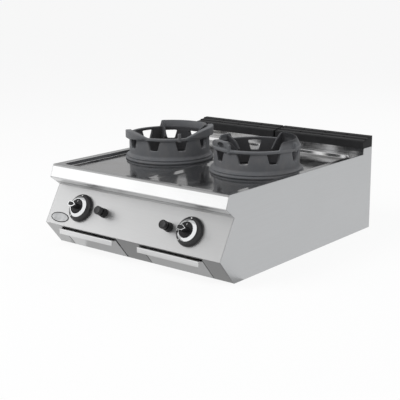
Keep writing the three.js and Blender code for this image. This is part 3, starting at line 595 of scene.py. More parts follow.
@dataclass(frozen=True)
class Galvanised(Finish):
    """Zinc-coated sheet with its spangle."""

    tone: float = 0.52

    def build(self, recipe: Recipe) -> None:
        """Gives each spangle its own tone and sheen."""
        spangle = recipe.cell_tone(95.0)
        dull = recipe.noise(30.0, 4.0, 0.6)
        tone = (self.tone,) * 3
        recipe.surface(
            Base_Color=recipe.blend(spangle, toned(tone, 0.86, 0.89, 0.92), toned(tone, 1.1, 1.12, 1.13)),
            Metallic=0.95,
            Roughness=spangle * 0.12 + dull * 0.2 + 0.3,
            Normal=recipe.bump(dull, 0.0002, 0.3),
        )


@dataclass(frozen=True)
class CastIron(Finish):
    """Sand-cast iron, seasoned slate grey, with a grainy skin and a trace of brown."""

    tone: Colour = (0.135, 0.142, 0.153)
    grain: float = 0.0004

    def build(self, recipe: Recipe) -> None:
        """Lays the cast skin on the shader."""
        self.skin(recipe, 0.0)

    def skin(self, recipe: Recipe, soot_and_shade: Any) -> None:
        """Stacks coarse and fine sand marks, and blackens the faces that the flame reaches, which also paints the
        shade in the ring's hollow.

        Args:
            recipe: The material's tree.
            soot_and_shade: How much flame blackening and painted shade lies at a point, from 0 to 1.
        """
        sand = recipe.noise(900.0, 4.0, 0.65)
        lumps = recipe.noise(150.0)
        patches = recipe.ramp(recipe.noise(22.0, 5.0, 0.6), 0.45, 0.75)
        skin = recipe.blend(patches * 0.5 + sand * 0.25, toned(self.tone, 0.78), toned(self.tone, 1.25, 1.14, 1.06))
        recipe.surface(
            Base_Color=recipe.blend(soot_and_shade, skin, SOOT_AND_SHADE),
            Metallic=0.12,
            Roughness=sand * 0.22 + patches * 0.08 + 0.42,
            Specular_IOR_Level=0.35,
            Normal=recipe.bump(sand * 0.6 + lumps * 0.8, self.grain, 0.55),
        )


@dataclass(frozen=True)
class SootAndShadeIron(CastIron):
    """The same casting, blackened on the faces turned to its burner by the flame and by painted shade in the ring's
    hollow.
    """

    centre: float = 0.0
    black_to: float = 0.1425
    plain_from: float = 0.151
    share: float = 0.8

    def build(self, recipe: Recipe) -> None:
        """Blackens the inside of the ring, out to the wall's outer skin, as flame blackening and painted shade; its
        radii are in metres.
        """
        radius = recipe.away_from(self.centre * MM, STATION_Y * MM)
        ragged = recipe.noise(60.0) * 0.002
        self.skin(recipe, recipe.ramp(radius + ragged, self.black_to, self.plain_from, self.share, 0.0))


@dataclass(frozen=True)
class BlackEnamel(Finish):
    """Matt black heat-proof coating on a casting."""

    tone: float = 0.015

    def build(self, recipe: Recipe) -> None:
        """Shows a fine orange peel and grey dust on top."""
        peel = recipe.noise(520.0)
        dust = recipe.ramp(recipe.noise(18.0, 5.0, 0.65), 0.4, 0.85)
        tone = (self.tone,) * 3
        recipe.surface(
            Base_Color=recipe.blend(dust * 0.6, toned(tone, 1.0, 1.0, 1.05), toned(tone, 2.3, 2.3, 2.4)),
            Roughness=peel * 0.12 + dust * 0.12 + 0.5,
            Specular_IOR_Level=0.17,
            Normal=recipe.bump(peel, 0.00018, 0.5),
        )


@dataclass(frozen=True)
class Moulded(Finish):
    """Moulded heat-proof plastic with a fine spark-eroded texture."""

    tone: Colour = (0.018, 0.018, 0.019)
    roughness: float = 0.34
    shine: float = 0.5

    def build(self, recipe: Recipe) -> None:
        """Adds the mould's fine texture and handling shine."""
        texture = recipe.noise(3200.0, 2.0, 0.5)
        shine = recipe.noise(40.0, 3.0, 0.6)
        recipe.surface(
            Base_Color=recipe.blend(shine * 0.4, self.tone, toned(self.tone, 1.5)),
            Roughness=texture * 0.1 + shine * 0.12 + (self.roughness - 0.1),
            Specular_IOR_Level=self.shine,
            Normal=recipe.bump(texture, 0.00006, 0.6),
        )


@dataclass(frozen=True)
class TurnedMetal(Finish):
    """Plated or machined metal: chrome, brass or copper."""

    tone: Colour = (0.8, 0.8, 0.82)
    roughness: float = 0.08
    tarnish: float = 0.15

    def build(self, recipe: Recipe) -> None:
        """Dulls the metal in soft patches."""
        patches = recipe.ramp(recipe.noise(60.0, 5.0, 0.6), 0.4, 0.8)
        tool = recipe.noise(1400.0, 2.0, 0.5, (1.0, 1.0, 0.05))
        recipe.surface(
            Base_Color=recipe.blend(patches * self.tarnish, self.tone, toned(self.tone, 0.62)),
            Metallic=1.0,
            Roughness=patches * (self.tarnish * 0.8) + tool * 0.06 + self.roughness,
            Normal=recipe.bump(tool, 0.00001, 0.4),
        )


@dataclass(frozen=True)
class Glazed(Finish):
    """White glazed ceramic or print ink."""

    tone: Colour = (0.8, 0.79, 0.75)

    def build(self, recipe: Recipe) -> None:
        """Mottles the glaze a little."""
        cloud = recipe.noise(120.0)
        recipe.surface(
            Base_Color=recipe.blend(cloud, self.tone, toned(self.tone, 0.88)),
            Roughness=cloud * 0.12 + 0.2,
        )


# These steels are one stainless steel whose tone is set piece by piece to paint light and shade: darker on the lower
# front, side panels, rolled hem, rim and well for painted shade, the side panels also a little cooler as a painted
# reflection, and lighter on the drawer fronts, drawer lip and nose for painted highlights.
STEEL_FRONT = BrushedSteel("steel_brushed_across", "brushed_steel", Grain.ACROSS, 0.57, 0.42)
STEEL_LOWER = BrushedSteel("steel_brushed_lower", "brushed_steel", Grain.ACROSS, 0.42, 0.34)
STEEL_DRAWER = BrushedSteel("steel_brushed_drawer", "brushed_steel", Grain.ACROSS, 0.68, 0.36)
STEEL_LIP = BrushedSteel("steel_brushed_lip", "brushed_steel", Grain.ACROSS, 0.74, 0.36)
STEEL_DUCT = PolishedSteel("steel_duct_face", "galvanised_steel", 0.38, 0.14)
STEEL_SIDE = BrushedSteel("steel_brushed_depth", "brushed_steel", Grain.DEPTH, 0.5, 0.33, 1.012)
STEEL_NOSE = BrushedSteel("steel_brushed_nose", "polished_steel", Grain.ACROSS, 0.68, 0.3)
STEEL_RIM = BrushedSteel("steel_bright_rim", "polished_steel", Grain.ACROSS, 0.45, 0.14)
STEEL_HEM = BrushedSteel("steel_rolled_hem", "polished_steel", Grain.ACROSS, 0.29, 0.3)
STEEL_TOP = PolishedSteel("steel_polished", "polished_steel", 0.46, 0.1)
STEEL_BOWL = PolishedSteel("steel_bowl_heat_tinted", "polished_steel", 0.5, 0.16, 0.8)
ZINC = Galvanised("zinc_sheet", "galvanised_steel")
# Each ring's inner faces are blackened by the flame and by painted shade.
IRONS = {"left": SootAndShadeIron("iron_left_ring", "cast_iron", centre=-199.0),
         "right": SootAndShadeIron("iron_right_ring", "cast_iron", centre=207.0)}
IRON_BURNER = CastIron("iron_burner", "cast_iron", (0.06, 0.06, 0.062))
ENAMEL = BlackEnamel("enamel_flue_cover", "black_enamel")
PLASTIC = Moulded("plastic_black", "black_plastic", (0.01, 0.01, 0.011), 0.36, 0.22)
PLASTIC_BEZEL = Moulded("plastic_bezel", "black_plastic", (0.014, 0.014, 0.015), 0.28, 0.42)
CHROME = TurnedMetal("chrome_plate", "chrome", (0.82, 0.83, 0.84), 0.05, 0.08)
BADGE = TurnedMetal("badge_plate", "chrome", (0.42, 0.425, 0.43), 0.3, 0.3)
BRASS = TurnedMetal("brass_machined", "brass", (0.62, 0.44, 0.19), 0.2, 0.5)
BRASS_CAP = TurnedMetal("brass_burner_cap", "brass", (0.44, 0.32, 0.16), 0.32, 0.85)
COPPER = TurnedMetal("copper_tube", "copper", (0.66, 0.33, 0.2), 0.2, 0.45)
CERAMIC = Glazed("ceramic_white", "ceramic")
PRINT = Glazed("print_white", "black_plastic", (0.75, 0.75, 0.74))


def dress(piece: Piece, finish: Finish, body: str, *nodes: str) -> Piece:
    """Gives a piece its finish, its body and the nodes it stands for.

    Args:
        piece: The finished object.
        finish: Its finish.
        body: The body it rides on.
        *nodes: The frame nodes that it replaces.

    Returns:
        The same object.
    """
    piece.data.materials.clear()
    piece.data.materials.append(finish.material())
    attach(piece, body)
    if nodes:
        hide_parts(*nodes)
    LOG.info("%s rides on %s", piece.name, body)
    return piece


def part(name: str, shape: Shape, degrees: float, finish: Finish, body: str, *nodes: str) -> Piece:
    """Makes a piece of a shape, smooth up to an angle, and dresses it."""
    return dress(smooth(mesh_object(name, shape), degrees), finish, body, *nodes)


def from_node(node: str, finish: Finish, body: str = "range", width: float = 0.4, suffix: str = "_part") -> Piece:
    """Dresses a copy of a frame node.

    Args:
        node: The frame node.
        finish: The copy's finish.
        body: The body it rides on.
        width: How far its edges are rounded, in millimetres; 0 only shades it smooth.
        suffix: What its name adds to the node's.

    Returns:
        The piece.
    """
    copy = node_copy(node, node + suffix)
    copy = eased(copy, width) if width else smooth(copy, 50)
    return dress(copy, finish, body, node)


# ---------------------------------------------------------------- repeats
class Repeat(Tree):
    """Geometry Nodes tree that copies a piece along a line or round an axis."""

    def __init__(self, name: str) -> None:
        """Starts a tree with a geometry input and output."""
        super().__init__(bpy.data.node_groups.new(name, "GeometryNodeTree"))
        for way in ("INPUT", "OUTPUT"):
            self.tree.interface.new_socket("Geometry", in_out=way, socket_type="NodeSocketGeometry")
        self.start = self.node("NodeGroupInput")
        self.end = self.node("NodeGroupOutput")

    def value(self, name: str, kind: str) -> str:
        """Adds a named input and gives its identifier."""
        return self.tree.interface.new_socket(name, in_out="INPUT", socket_type=kind).identifier

    def finish(self, points: Plug, turn: Any, material: bpy.types.Material) -> None:
        """Puts the piece on the points, makes the copies real and sets their material."""
        copies = self.node("GeometryNodeInstanceOnPoints", None, {
            "Points": points, "Instance": self.start.outputs["Geometry"], "Rotation": turn})
        real = self.node("GeometryNodeRealizeInstances", None, {"Geometry": copies.outputs[0]})
        dressed = self.node("GeometryNodeSetMaterial", None, {
            "Geometry": real.outputs[0], "Material": material})
        self.feed(self.end.inputs["Geometry"], dressed.outputs[0])


def repeated(piece: Piece, tree: bpy.types.NodeTree, values: dict[str, Any]) -> Piece:
    """Runs a repeat on a piece with its inputs by identifier, and keeps the plain mesh."""
    modifier = piece.modifiers.new("Repeat", "NODES")
    modifier.node_group = tree
    for key, value in values.items():
        modifier[key] = value
    return settled(piece)


def along_line(piece: Piece, count: int, step: Point3, finish: Finish) -> Piece:
    """Copies a piece along a line.

    Args:
        piece: The piece at its first place.
        count: How many there are in all.
        step: From one to the next, in millimetres.
        finish: The copies' finish.

    Returns:
        The piece with all its copies.
    """
    repeat = Repeat("along_line")
    number = repeat.value("Count", "NodeSocketInt")
    offset = repeat.value("Step", "NodeSocketVector")
    line = repeat.node("GeometryNodeMeshLine", None, {
        "Count": repeat.start.outputs["Count"], "Offset": repeat.start.outputs["Step"]})
    repeat.finish(line.outputs[0], (0.0, 0.0, 0.0), finish.material())
    return repeated(piece, repeat.tree, {number: count, offset: [value * MM for value in step]})


def round_axis(piece: Piece, count: int, finish: Finish) -> Piece:
    """Copies a piece evenly round the vertical axis through the origin."""
    repeat = Repeat("round_axis")
    number = repeat.value("Count", "NodeSocketInt")
    line = repeat.node("GeometryNodeMeshLine", None, {
        "Count": repeat.start.outputs["Count"], "Offset": (0.0, 0.0, 0.0)})
    index = repeat.node("GeometryNodeInputIndex")
    step = repeat.node("ShaderNodeMath", {"operation": "DIVIDE"}, {
        0: 2 * math.pi, 1: repeat.start.outputs["Count"]})
    angle = repeat.node("ShaderNodeMath", {"operation": "MULTIPLY"}, {0: index.outputs[0], 1: step.outputs[0]})
    turn = repeat.node("ShaderNodeCombineXYZ", None, {"Z": angle.outputs[0]})
    repeat.finish(line.outputs[0], turn.outputs[0], finish.material())
    return repeated(piece, repeat.tree, {number: count})


def carried(piece: Piece, matrix: Matrix) -> Piece:
    """Moves a piece's mesh by a matrix in millimetres."""
    shift = matrix.copy()
    shift.translation = shift.translation * MM
    piece.data.transform(shift)
    return piece


def joined(name: str, pieces: Sequence[Piece]) -> Piece:
    """Joins plain objects into one."""
    work = bmesh.new()
    for piece in pieces:
        work.from_mesh(piece.data)
    mesh = bpy.data.meshes.new(name)
    work.to_mesh(mesh)
    work.free()
    for piece in pieces:
        bpy.data.objects.remove(piece)
    return linked(name, mesh)


# ---------------------------------------------------------------- casing
@dataclass
class Casing:
    """Sheet casing: sides, sloping front, base, back, braces, duct and screws."""

    edge: float = 0.7
    post_x: float = 372.0
    post_foot: float = 20.0
    duct_x: float = -300.0
    duct_z: float = 296.0
    sheets: tuple[tuple[str, Finish], ...] = (
        # The side panels and the lower front wear darker copies of the steel as painted shade; the sides are also
        # cooler, a painted reflection.
        ("left_side_panel", STEEL_SIDE),
        ("right_side_panel", STEEL_SIDE),
        ("control_panel", STEEL_FRONT),
        ("lower_front", STEEL_LOWER),
        ("base_plate", ZINC),
        ("rear_panel", ZINC),
        ("flue_duct", STEEL_DUCT),
        ("front_cross_brace", ZINC),
        ("rear_cross_brace", ZINC),
    )

    def build(self) -> None:
        """Makes every sheet of the casing, and the screws in the rear face."""
        for node, finish in self.sheets:
            from_node(node, finish, width=self.edge, suffix="_sheet")
        self.panel_screws()
        self.duct_screws()

    def screw(self, name: str, x: float, z: float) -> Piece:
        """Makes a pan-head screw with a cross recess, driven into the rear face."""
        dome = fillet([(0, 2.2), (2.2, 2.2), (4.0, 1.2), (4.2, 0), (0, 0)], [0, 1.2, 0.8, 0, 0])
        head = mesh_object(name, lathe(dome, 24))
        level = [(-2.2, -0.4), (2.2, -0.4), (2.2, 0.4), (-2.2, 0.4)]
        upright = [(-0.4, -2.2), (0.4, -2.2), (0.4, 2.2), (-0.4, 2.2)]
        cross = mesh_object(name + "_slot", prism(level, 1.2, 4) + prism(upright, 1.2, 4))
        return carried(cut_from(head, cross), place(x, REAR_FACE, z) @ turned(-90, "X"))

    def panel_screws(self) -> None:
        """Fixes the rear panel along both its upright edges."""
        rows = [along_line(self.screw(f"rear_screw_{index}", x, self.post_foot), 4, (0, 0, 90), CHROME)
                for index, x in enumerate((-self.post_x, self.post_x))]
        dress(smooth(joined("rear_panel_screws", rows)), CHROME, "range")

    def duct_screws(self) -> None:
        """Fixes the duct with a level row of screws above the rear panel."""
        row = along_line(self.screw("duct_screw", self.duct_x, self.duct_z), 5, (150, 0, 0), CHROME)
        dress(smooth(row), CHROME, "range")


@dataclass
class Worktop:
    """Drawn worktop: rolled front nose and brushed rim, polished well with burner seats and a bead."""

    corner: float = 26.0
    well_side: float = 376.0
    well_front: float = -394.0
    well_rear: float = 362.0
    overlap: float = 8.0
    draft: float = 3.0
    floor_inset: float = 24.0
    front: float = -414.2
    nose_top: float = -417.2
    nose_tip: Point2 = (-434.0, 249.0)
    nose_foot: Point2 = (-414.0, 233.2)
    rear: float = 404.7
    rear_fold: float = 22.0
    seat_hole: float = 118.0
    ridge_foot: float = 28.0
    ridge_crown: float = 7.0
    ridge_height: float = 2.8
    ridge_ends: Point2 = (-338.0, 330.0)
    hem: float = 6.4

    def well_loop(self, inset: float, z: float) -> list[Point3]:
        """Gives the well's rounded outline at one inset and height."""
        side = self.well_side - inset
        radius = max(self.corner - inset, 5.0)
        outline = rounded_rect(-side, side, self.well_front + inset, self.well_rear - inset, radius)
        return at_height(outline, z)

    def section(self) -> list[Point2]:
        """Gives the well's wall as [inset, height], rolled over at the rim and rounded into the floor."""
        corners = [(-self.overlap, TOP), (0, TOP), (self.draft, WELL_FLOOR), (self.floor_inset, WELL_FLOOR)]
        return fillet(corners, [0, 3.2, 1.6, 0], steps=8)

    def rim(self) -> Shape:
        """Makes the flat rim round the well."""
        edge = rounded_rect(-INNER_HALF, INNER_HALF, self.front, self.rear, 0.5)
        return skin([at_height(edge, TOP), self.well_loop(*self.section()[0])])

    def pan(self) -> Shape:
        """Makes the drafted walls and the floor with a hole under each seat."""
        loops = [self.well_loop(inset, z) for inset, z in self.section()]
        holes = [circle(self.seat_hole + 1, side * STATION_X, STATION_Y) for _, side in SIDES]
        return skin(loops) + flat_with_holes(loops[-1], holes, WELL_FLOOR)

    def seat(self) -> Shape:
        """Makes the turned-down edge of a burner hole."""
        return lathe([(self.seat_hole + 1, WELL_FLOOR), (self.seat_hole + 0.3, WELL_FLOOR - 0.4),
                      (self.seat_hole, WELL_FLOOR - SHEET)])

    def ridge(self) -> Shape:
        """Makes the pressed bead between the two seats."""
        section = fillet([(self.ridge_foot + 6, -0.2), (self.ridge_foot, 0.3), (self.ridge_crown, self.ridge_height),
                          (0, self.ridge_height + 0.6)], [0, 9, 12, 0], steps=7)
        front, rear = self.ridge_ends
        loops = []
        for half, height in section[:-1]:
            inset = self.ridge_foot - half
            outline = rounded_rect(-half, half, front + inset, rear - inset, half * 0.6, 8)
            loops.append(at_height(outline, WELL_FLOOR + height))
        return skin(loops) + flat_with_holes(loops[-1], [], WELL_FLOOR + section[-2][1])

    def hem_foot(self) -> Point2:
        """Gives the place on the nose's slope where its rolled hem ends."""
        tip, height = self.nose_tip
        share = self.hem / (TOP - height)
        return (self.nose_top + (tip - self.nose_top) * share, TOP - self.hem)

    def roll(self) -> Shape:
        """Makes the rolled hem between the flat rim and the nose."""
        outline = fillet([(self.front, TOP), (self.nose_top, TOP), self.hem_foot()], [0, 4, 0], steps=6)
        return across(outline, -INNER_HALF, INNER_HALF, closed=False)

    def nose(self) -> Shape:
        """Makes the front edge, from its hem down to the fold over the control panel."""
        outline = fillet([self.hem_foot(), self.nose_tip, self.nose_foot], [0, 3.5, 0], steps=6)
        return across(outline, -INNER_HALF, INNER_HALF, closed=False)

    def fold(self) -> Shape:
        """Makes the turned-down edge at the rear."""
        outline = [(self.rear, TOP), (self.rear, TOP - self.rear_fold)]
        return across(outline, -INNER_HALF, INNER_HALF, closed=False)

    def formed(self, name: str, shape: Shape) -> Piece:
        """Gives a skin the sheet's thickness."""
        sheet = mesh_object(name, shape)
        self.face_up(sheet)
        modified(sheet, "SOLIDIFY", thickness=SHEET * MM, offset=-1.0)
        return flat_faced(smooth(settled(sheet), 40))

    def build(self) -> None:
        """Makes the rim with its nose, and the polished well."""
        # The nose, hem and rim are one sheet in different tones: lighter on the nose for a painted highlight, darker
        # on the hem, the rim and the well for painted shade.
        dress(self.formed("worktop_nose", self.nose()), STEEL_NOSE, "range")
        dress(self.formed("worktop_hem", self.roll()), STEEL_HEM, "range")
        dress(self.formed("worktop_rim", self.rim() + self.fold()), STEEL_RIM, "range", "worktop")
        well = self.pan() + self.ridge()
        for _, side in SIDES:
            well = well + self.seat().moved(place(side * STATION_X, STATION_Y, 0))
        dress(self.formed("worktop_well", well), STEEL_TOP, "range")

    @staticmethod
    def face_up(sheet: Piece) -> None:
        """Turns each loose skin of the sheet so that its upper side is its outside."""
        with reworked(sheet.data) as work:
            work.normal_update()
            wrong = [face for face in work.faces if face.normal.z < -0.02
                     or (abs(face.normal.z) <= 0.02 and face.normal.y * face.calc_center_median().y < 0)]
            bmesh.ops.reverse_faces(work, faces=wrong)


# ---------------------------------------------------------------- cast pieces
@dataclass(frozen=True)
class Lobe:
    """One raised lobe of a wok ring, by its end angles in degrees."""

    start: float
    end: float
    climb: float
    fall: float
    flare: float
    rise: float = 27.0
    wall: float = 7.0
    face: float = 0.0


@dataclass(frozen=True)
class RingPattern:
    """How one loose ring stands, and what is cast on it at which angles."""

    x: float
    first_window: float
    lobes: tuple[Lobe, ...]
    fins: tuple[float, ...]
    lugs: tuple[float, ...]
    hollows: tuple[float, ...] = ()


@dataclass
class WokRing:
    """Cast wok ring: foot plate, skirt, windowed wall, rim band, raised lobes, lugs and inner fins."""

    name: str
    pattern: RingPattern
    plate: float = 166.0
    bore: float = 140.0
    rim: float = 156.0
    band: float = 9.0
    height: float = 93.0
    reach: float = 82.0
    windows: int = 9
    window: tuple[Point2, ...] = ((-14, 46), (14, 46), (25, 83), (-25, 83))
    window_reach: Point2 = (110.0, 175.0)
    lobe_steps: int = 32
    seam: float = 0.5
    seam_wall: float = 7.0
    voxel: float = 1.7

    def wall(self) -> Piece:
        """Turns the wall with its grooved foot and rim band, and cuts the flame windows."""
        band_foot = self.height - self.band
        profile = fillet([
            (self.bore - 4, 0), (self.plate, 0), (self.plate, 6.5), (159.5, 8.5), (159.5, 11.2), (163.5, 12.2),
            (163, 14.5), (155, 17.5), (151.5, 24), (151.2, band_foot - 3), (self.rim, band_foot),
            (self.rim, self.height), (self.bore, self.height),
        ], [1, 1, 1.5, 0.4, 0.4, 0.8, 1, 4, 8, 2.5, 1, 2.6, 2.6], closed=True)
        wall = mesh_object(f"{self.name}_wall", lathe(profile, 144, closed=True))
        opening = fillet(self.window, [5, 5, 2.5, 2.5], closed=True)
        tool = skin([[(radius, u, z) for u, z in opening] for radius in self.window_reach], ends=True)
        tools = together(tool.moved(turned(self.pattern.first_window + 360 / self.windows * index))
                         for index in range(self.windows))
        return cut_from(wall, mesh_object(f"{self.name}_windows", tools))

    def lobe_section(self, lobe: Lobe, along: float) -> list[Point3]:
        """Gives a lobe's cross-section at an angle past its start.

        Args:
            lobe: The lobe.
            along: Degrees from its start.

        Returns:
            The section's points, from the band's inside over the crest.
        """
        share = max(0.0, min(along / lobe.climb, (lobe.end - lobe.start - along) / lobe.fall, 1.0))
        swell = math.sin(math.pi / 2 * share)
        rise = self.seam + (lobe.rise - self.seam) * swell
        lean = lobe.flare * rise / lobe.rise
        wall = self.seam_wall + (lobe.wall - self.seam_wall) * swell
        top = self.height + rise
        outer = self.rim - 1 + lean
        low, knee = self.height - 6, (self.rim - 1 + lean * 0.45, self.height - 3 + rise * 0.5)
        if lobe.face:
            knee = (outer, top - 2 - (lobe.face - 2) * swell)
            low = min(low, knee[1] - 3 * swell)
        section = [
            (self.bore - 1.5, self.height - self.band - 7 * swell), (self.rim - 5, low), knee, (outer, top - 2),
            (outer - 2, top), (max(outer - wall, self.bore - 2), top),
            (max(outer - wall - 2 - lean * 0.7, self.bore - 1.5), self.height - 3 + rise * 0.4),
        ]
        angle = math.radians(lobe.start + along)
        return [(r * math.cos(angle), r * math.sin(angle), z) for r, z in section]

    def lobe(self, lobe: Lobe) -> Shape:
        """Lofts one lobe along the rim."""
        stations = [step / self.lobe_steps * (lobe.end - lobe.start) for step in range(self.lobe_steps + 1)]
        return skin([self.lobe_section(lobe, along) for along in stations], ends=True)

    def crest(self, angle: float) -> float:
        """Gives the height of the rim or of the lobe that rises at an angle."""
        risen = [lobe.rise for lobe in self.pattern.lobes if lobe.start < angle < lobe.end]
        return self.height + max(risen, default=0.0)

    def fin(self, angle: float) -> Shape:
        """Makes one inner fin as an upright web."""
        top = self.crest(angle)
        outline = fillet([
            (self.bore + 2, top - 4), (self.bore - 6, top - 5),
            (self.reach + 22, self.height - 4), (self.reach, 62), (self.reach + 8, 56), (self.bore + 2, 28),
        ], [0, 4, 14, 3, 6, 0], closed=True)
        web = skin([[(r, v, z) for r, z in outline] for v in (-4.0, 4.0)], ends=True)
        return web.moved(turned(angle))

    def lug(self, angle: float) -> Shape:
        """Makes one lug standing on the rim band."""
        outline = fillet([(self.rim - 8, -6), (self.rim + 2, -6), (self.rim + 2, 6), (self.rim - 8, 6)],
                         [1, 2.5, 2.5, 1], closed=True)
        return prism(outline, self.height - 13, self.height + 18).moved(turned(angle))

    def hollow(self, angle: float) -> Shape:
        """Makes the plug that leaves a blind hollow in a lobe's outer face."""
        start = self.rim - 5
        loops = [[(start + out, u * 1.9, self.height + 12.5 + z) for u, z in circle(radius, count=24)]
                 for out, radius in ((-8.0, 7.5), (-3.0, 9.2), (30.0, 10.4))]
        return skin(loops, ends=True).moved(turned(angle))

    def build(self) -> None:
        """Fuses the casting in one skin, softens it as sand casting does, and dresses it."""
        lobes = mesh_object(f"{self.name}_lobes", together(self.lobe(lobe) for lobe in self.pattern.lobes))
        for angle in self.pattern.hollows:
            lobes = cut_from(lobes, mesh_object(f"{self.name}_hollow", self.hollow(angle)))
        extras = together([*map(self.fin, self.pattern.fins), *map(self.lug, self.pattern.lugs)])
        pieces = [self.wall(), lobes, mesh_object(f"{self.name}_fins", extras)]
        casting = joined(f"{self.name}_wok_ring_casting", pieces)
        carried(casting, place(self.pattern.x, STATION_Y, SEAT_TOP + 0.3))
        modified(casting, "REMESH", mode="VOXEL", voxel_size=self.voxel * MM, use_smooth_shade=True)
        modified(casting, "SMOOTH", factor=0.5, iterations=2)
        modified(casting, "DECIMATE", ratio=0.5)
        dress(smooth(settled(casting), 60), IRONS[self.name], f"{self.name}_wok_ring", f"{self.name}_wok_ring")


@dataclass
class FlueCover:
    """Louvred cast cover over half of the flue, stepped up towards the rear."""

    name: str
    side: float
    inner: float = 4.0
    outer: float = 400.0
    front: float = 396.0
    rear: float = 466.0
    low: float = 316.3
    top: float = 357.0
    wall: float = 4.0
    slats: int = 3
    step_down: float = 5.0
    web: float = 4.0
    bays: int = 4

    @property
    def ends(self) -> Point2:
        """Gives the cover's ends along X."""
        return (self.inner, self.outer) if self.side > 0 else (-self.outer, -self.inner)

    @property
    def pitch(self) -> float:
        """Gives the depth from one slat to the next."""
        return (self.rear - self.front) / self.slats

    def walls(self) -> list[list[Point2]]:
        """Gives the outlines of the front and the rear wall."""
        inside, head = self.front + self.wall, self.top - self.step_down * self.slats
        front = fillet([(self.front, self.low), (inside, self.low), (inside + 2, head + 3),
                        (self.front + 3, head + 3), (self.front + 1, head)], [0, 0, 1, 1, 1], closed=True)
        rear = [(self.rear - self.wall, self.low), (self.rear, self.low), (self.rear, self.top),
                (self.rear - self.wall, self.top)]
        return [front, rear]

    def slat(self) -> list[Point2]:
        """Gives the lowest slat's outline."""
        base = self.top - self.step_down * (self.slats - 1)
        tail = self.front + self.pitch
        return fillet([(self.front + 5, base - 5), (self.front + 8, base - 7.5), (tail + 3, base - 4),
                       (tail + 3, base - 0.6), (tail, base), (self.front + 9, base - 1.5)],
                      [1, 1, 0.8, 1.2, 1.5, 2], closed=True)

    def comb(self) -> list[Point2]:
        """Gives the stepped outline of a web under the slats."""
        outline = [(self.front, self.low), (self.rear, self.low), (self.rear, self.top)]
        for step in range(self.slats):
            z = self.top - self.step_down * step
            y = self.front + (self.slats - 1 - step) * self.pitch
            outline += [(y + 3, z - 1.2), (y + 2, z - self.step_down - 0.6)]
        return outline

    def build(self) -> None:
        """Makes walls, slats and webs, fuses them and dresses the cover."""
        x0, x1 = self.ends
        last = self.slats - 1
        outline = self.slat()
        slat = mesh_object(f"{self.name}_slat", across(outline, x0, x1))
        slats = along_line(slat, last, (0, self.pitch, self.step_down), ENAMEL)
        cut_slat = [(min(y + self.pitch * last, self.rear), z + self.step_down * last) for y, z in outline]
        web = mesh_object(f"{self.name}_web", across(self.comb(), x0, x0 + self.web))
        webs = along_line(web, self.bays + 1, ((x1 - x0 - self.web) / self.bays, 0, 0), ENAMEL)
        walls = mesh_object(f"{self.name}_walls", together(
            across(section, x0, x1) for section in (*self.walls(), cut_slat)))
        cover = joined(f"{self.name}_flue_cover_casting", [slats, webs, walls])
        dress(eased(cover, 0.8), ENAMEL, f"{self.name}_flue_cover", f"{self.name}_flue_cover")


# ---------------------------------------------------------------- burner station
@dataclass
class Burner:
    """Burner under a ring: drip bowl, cast body, brass cap, pilot group, strap and gas feed."""

    name: str
    side: float
    radius: float = 62.0
    seat: float = 262.3
    teeth: int = 48
    under_bowl: tuple[tuple[str, Finish, float], ...] = (
        ("burner_body", IRON_BURNER, 1.2),
        ("burner_strap", ZINC, 0.5),
        ("pilot_burner", BRASS, 0.4),
        ("spark_electrode", CERAMIC, 0.3),
        ("flame_probe", COPPER, 0.3),
        ("feed_pipe", COPPER, 0.0),
        ("gas_valve", BRASS, 0.8),
    )

    @property
    def home(self) -> Matrix:
        """Gives the station's centre."""
        return place(self.side * STATION_X, STATION_Y, 0)

    def bowl(self) -> None:
        """Makes the loose bowl that catches spills under the ring."""
        profile = fillet([(137, 275.9), (137, 277.6), (113.5, 277.6), (97, 235.2), (87, 231.8)],
                         [0, 0.6, 3, 6, 0], steps=5)
        bowl = mesh_object(f"{self.name}_drip_bowl", lathe(profile).moved(self.home))
        modified(bowl, "SOLIDIFY", thickness=1.2 * MM, offset=0.0)
        dress(smooth(settled(bowl), 50), STEEL_BOWL, "range", f"{self.name}_burner_bowl")

    def cap(self) -> None:
        """Makes the lift-off cap with its ring of flame teeth."""
        low = self.seat
        dome = fillet([(0, low), (self.radius, low), (self.radius, low + 4.2), (self.radius - 5, low + 4.4),
                       (self.radius - 5, low + 10.5), (self.radius, low + 10.8), (self.radius - 6, 281), (42, 284),
                       (34, 278.4), (22, 278.4), (17, 286), (0, 286)],
                      [0, 1, 0.4, 0, 0, 0.8, 4, 3, 3, 3, 3, 0], steps=4)
        body = mesh_object(f"{self.name}_cap_body", lathe(dome))
        tooth = fillet([(self.radius - 6, -1.5), (self.radius - 0.2, -1.7), (self.radius - 0.2, 1.7),
                        (self.radius - 6, 1.5)], [0, 0.5, 0.5, 0], closed=True, steps=2)
        teeth = mesh_object(f"{self.name}_cap_tooth", prism(tooth, low + 4.0, low + 10.9))
        teeth = round_axis(teeth, self.teeth, BRASS_CAP)
        cap = carried(joined(f"{self.name}_burner_cap_crown", [body, teeth]), self.home)
        dress(smooth(cap, 40), BRASS_CAP, f"{self.name}_burner_cap", f"{self.name}_burner_cap")

    def build(self) -> None:
        """Makes the whole station, with softened copies of the parts under the bowl."""
        self.bowl()
        self.cap()
        for under, finish, width in self.under_bowl:
            from_node(f"{self.name}_{under}", finish, width=width)


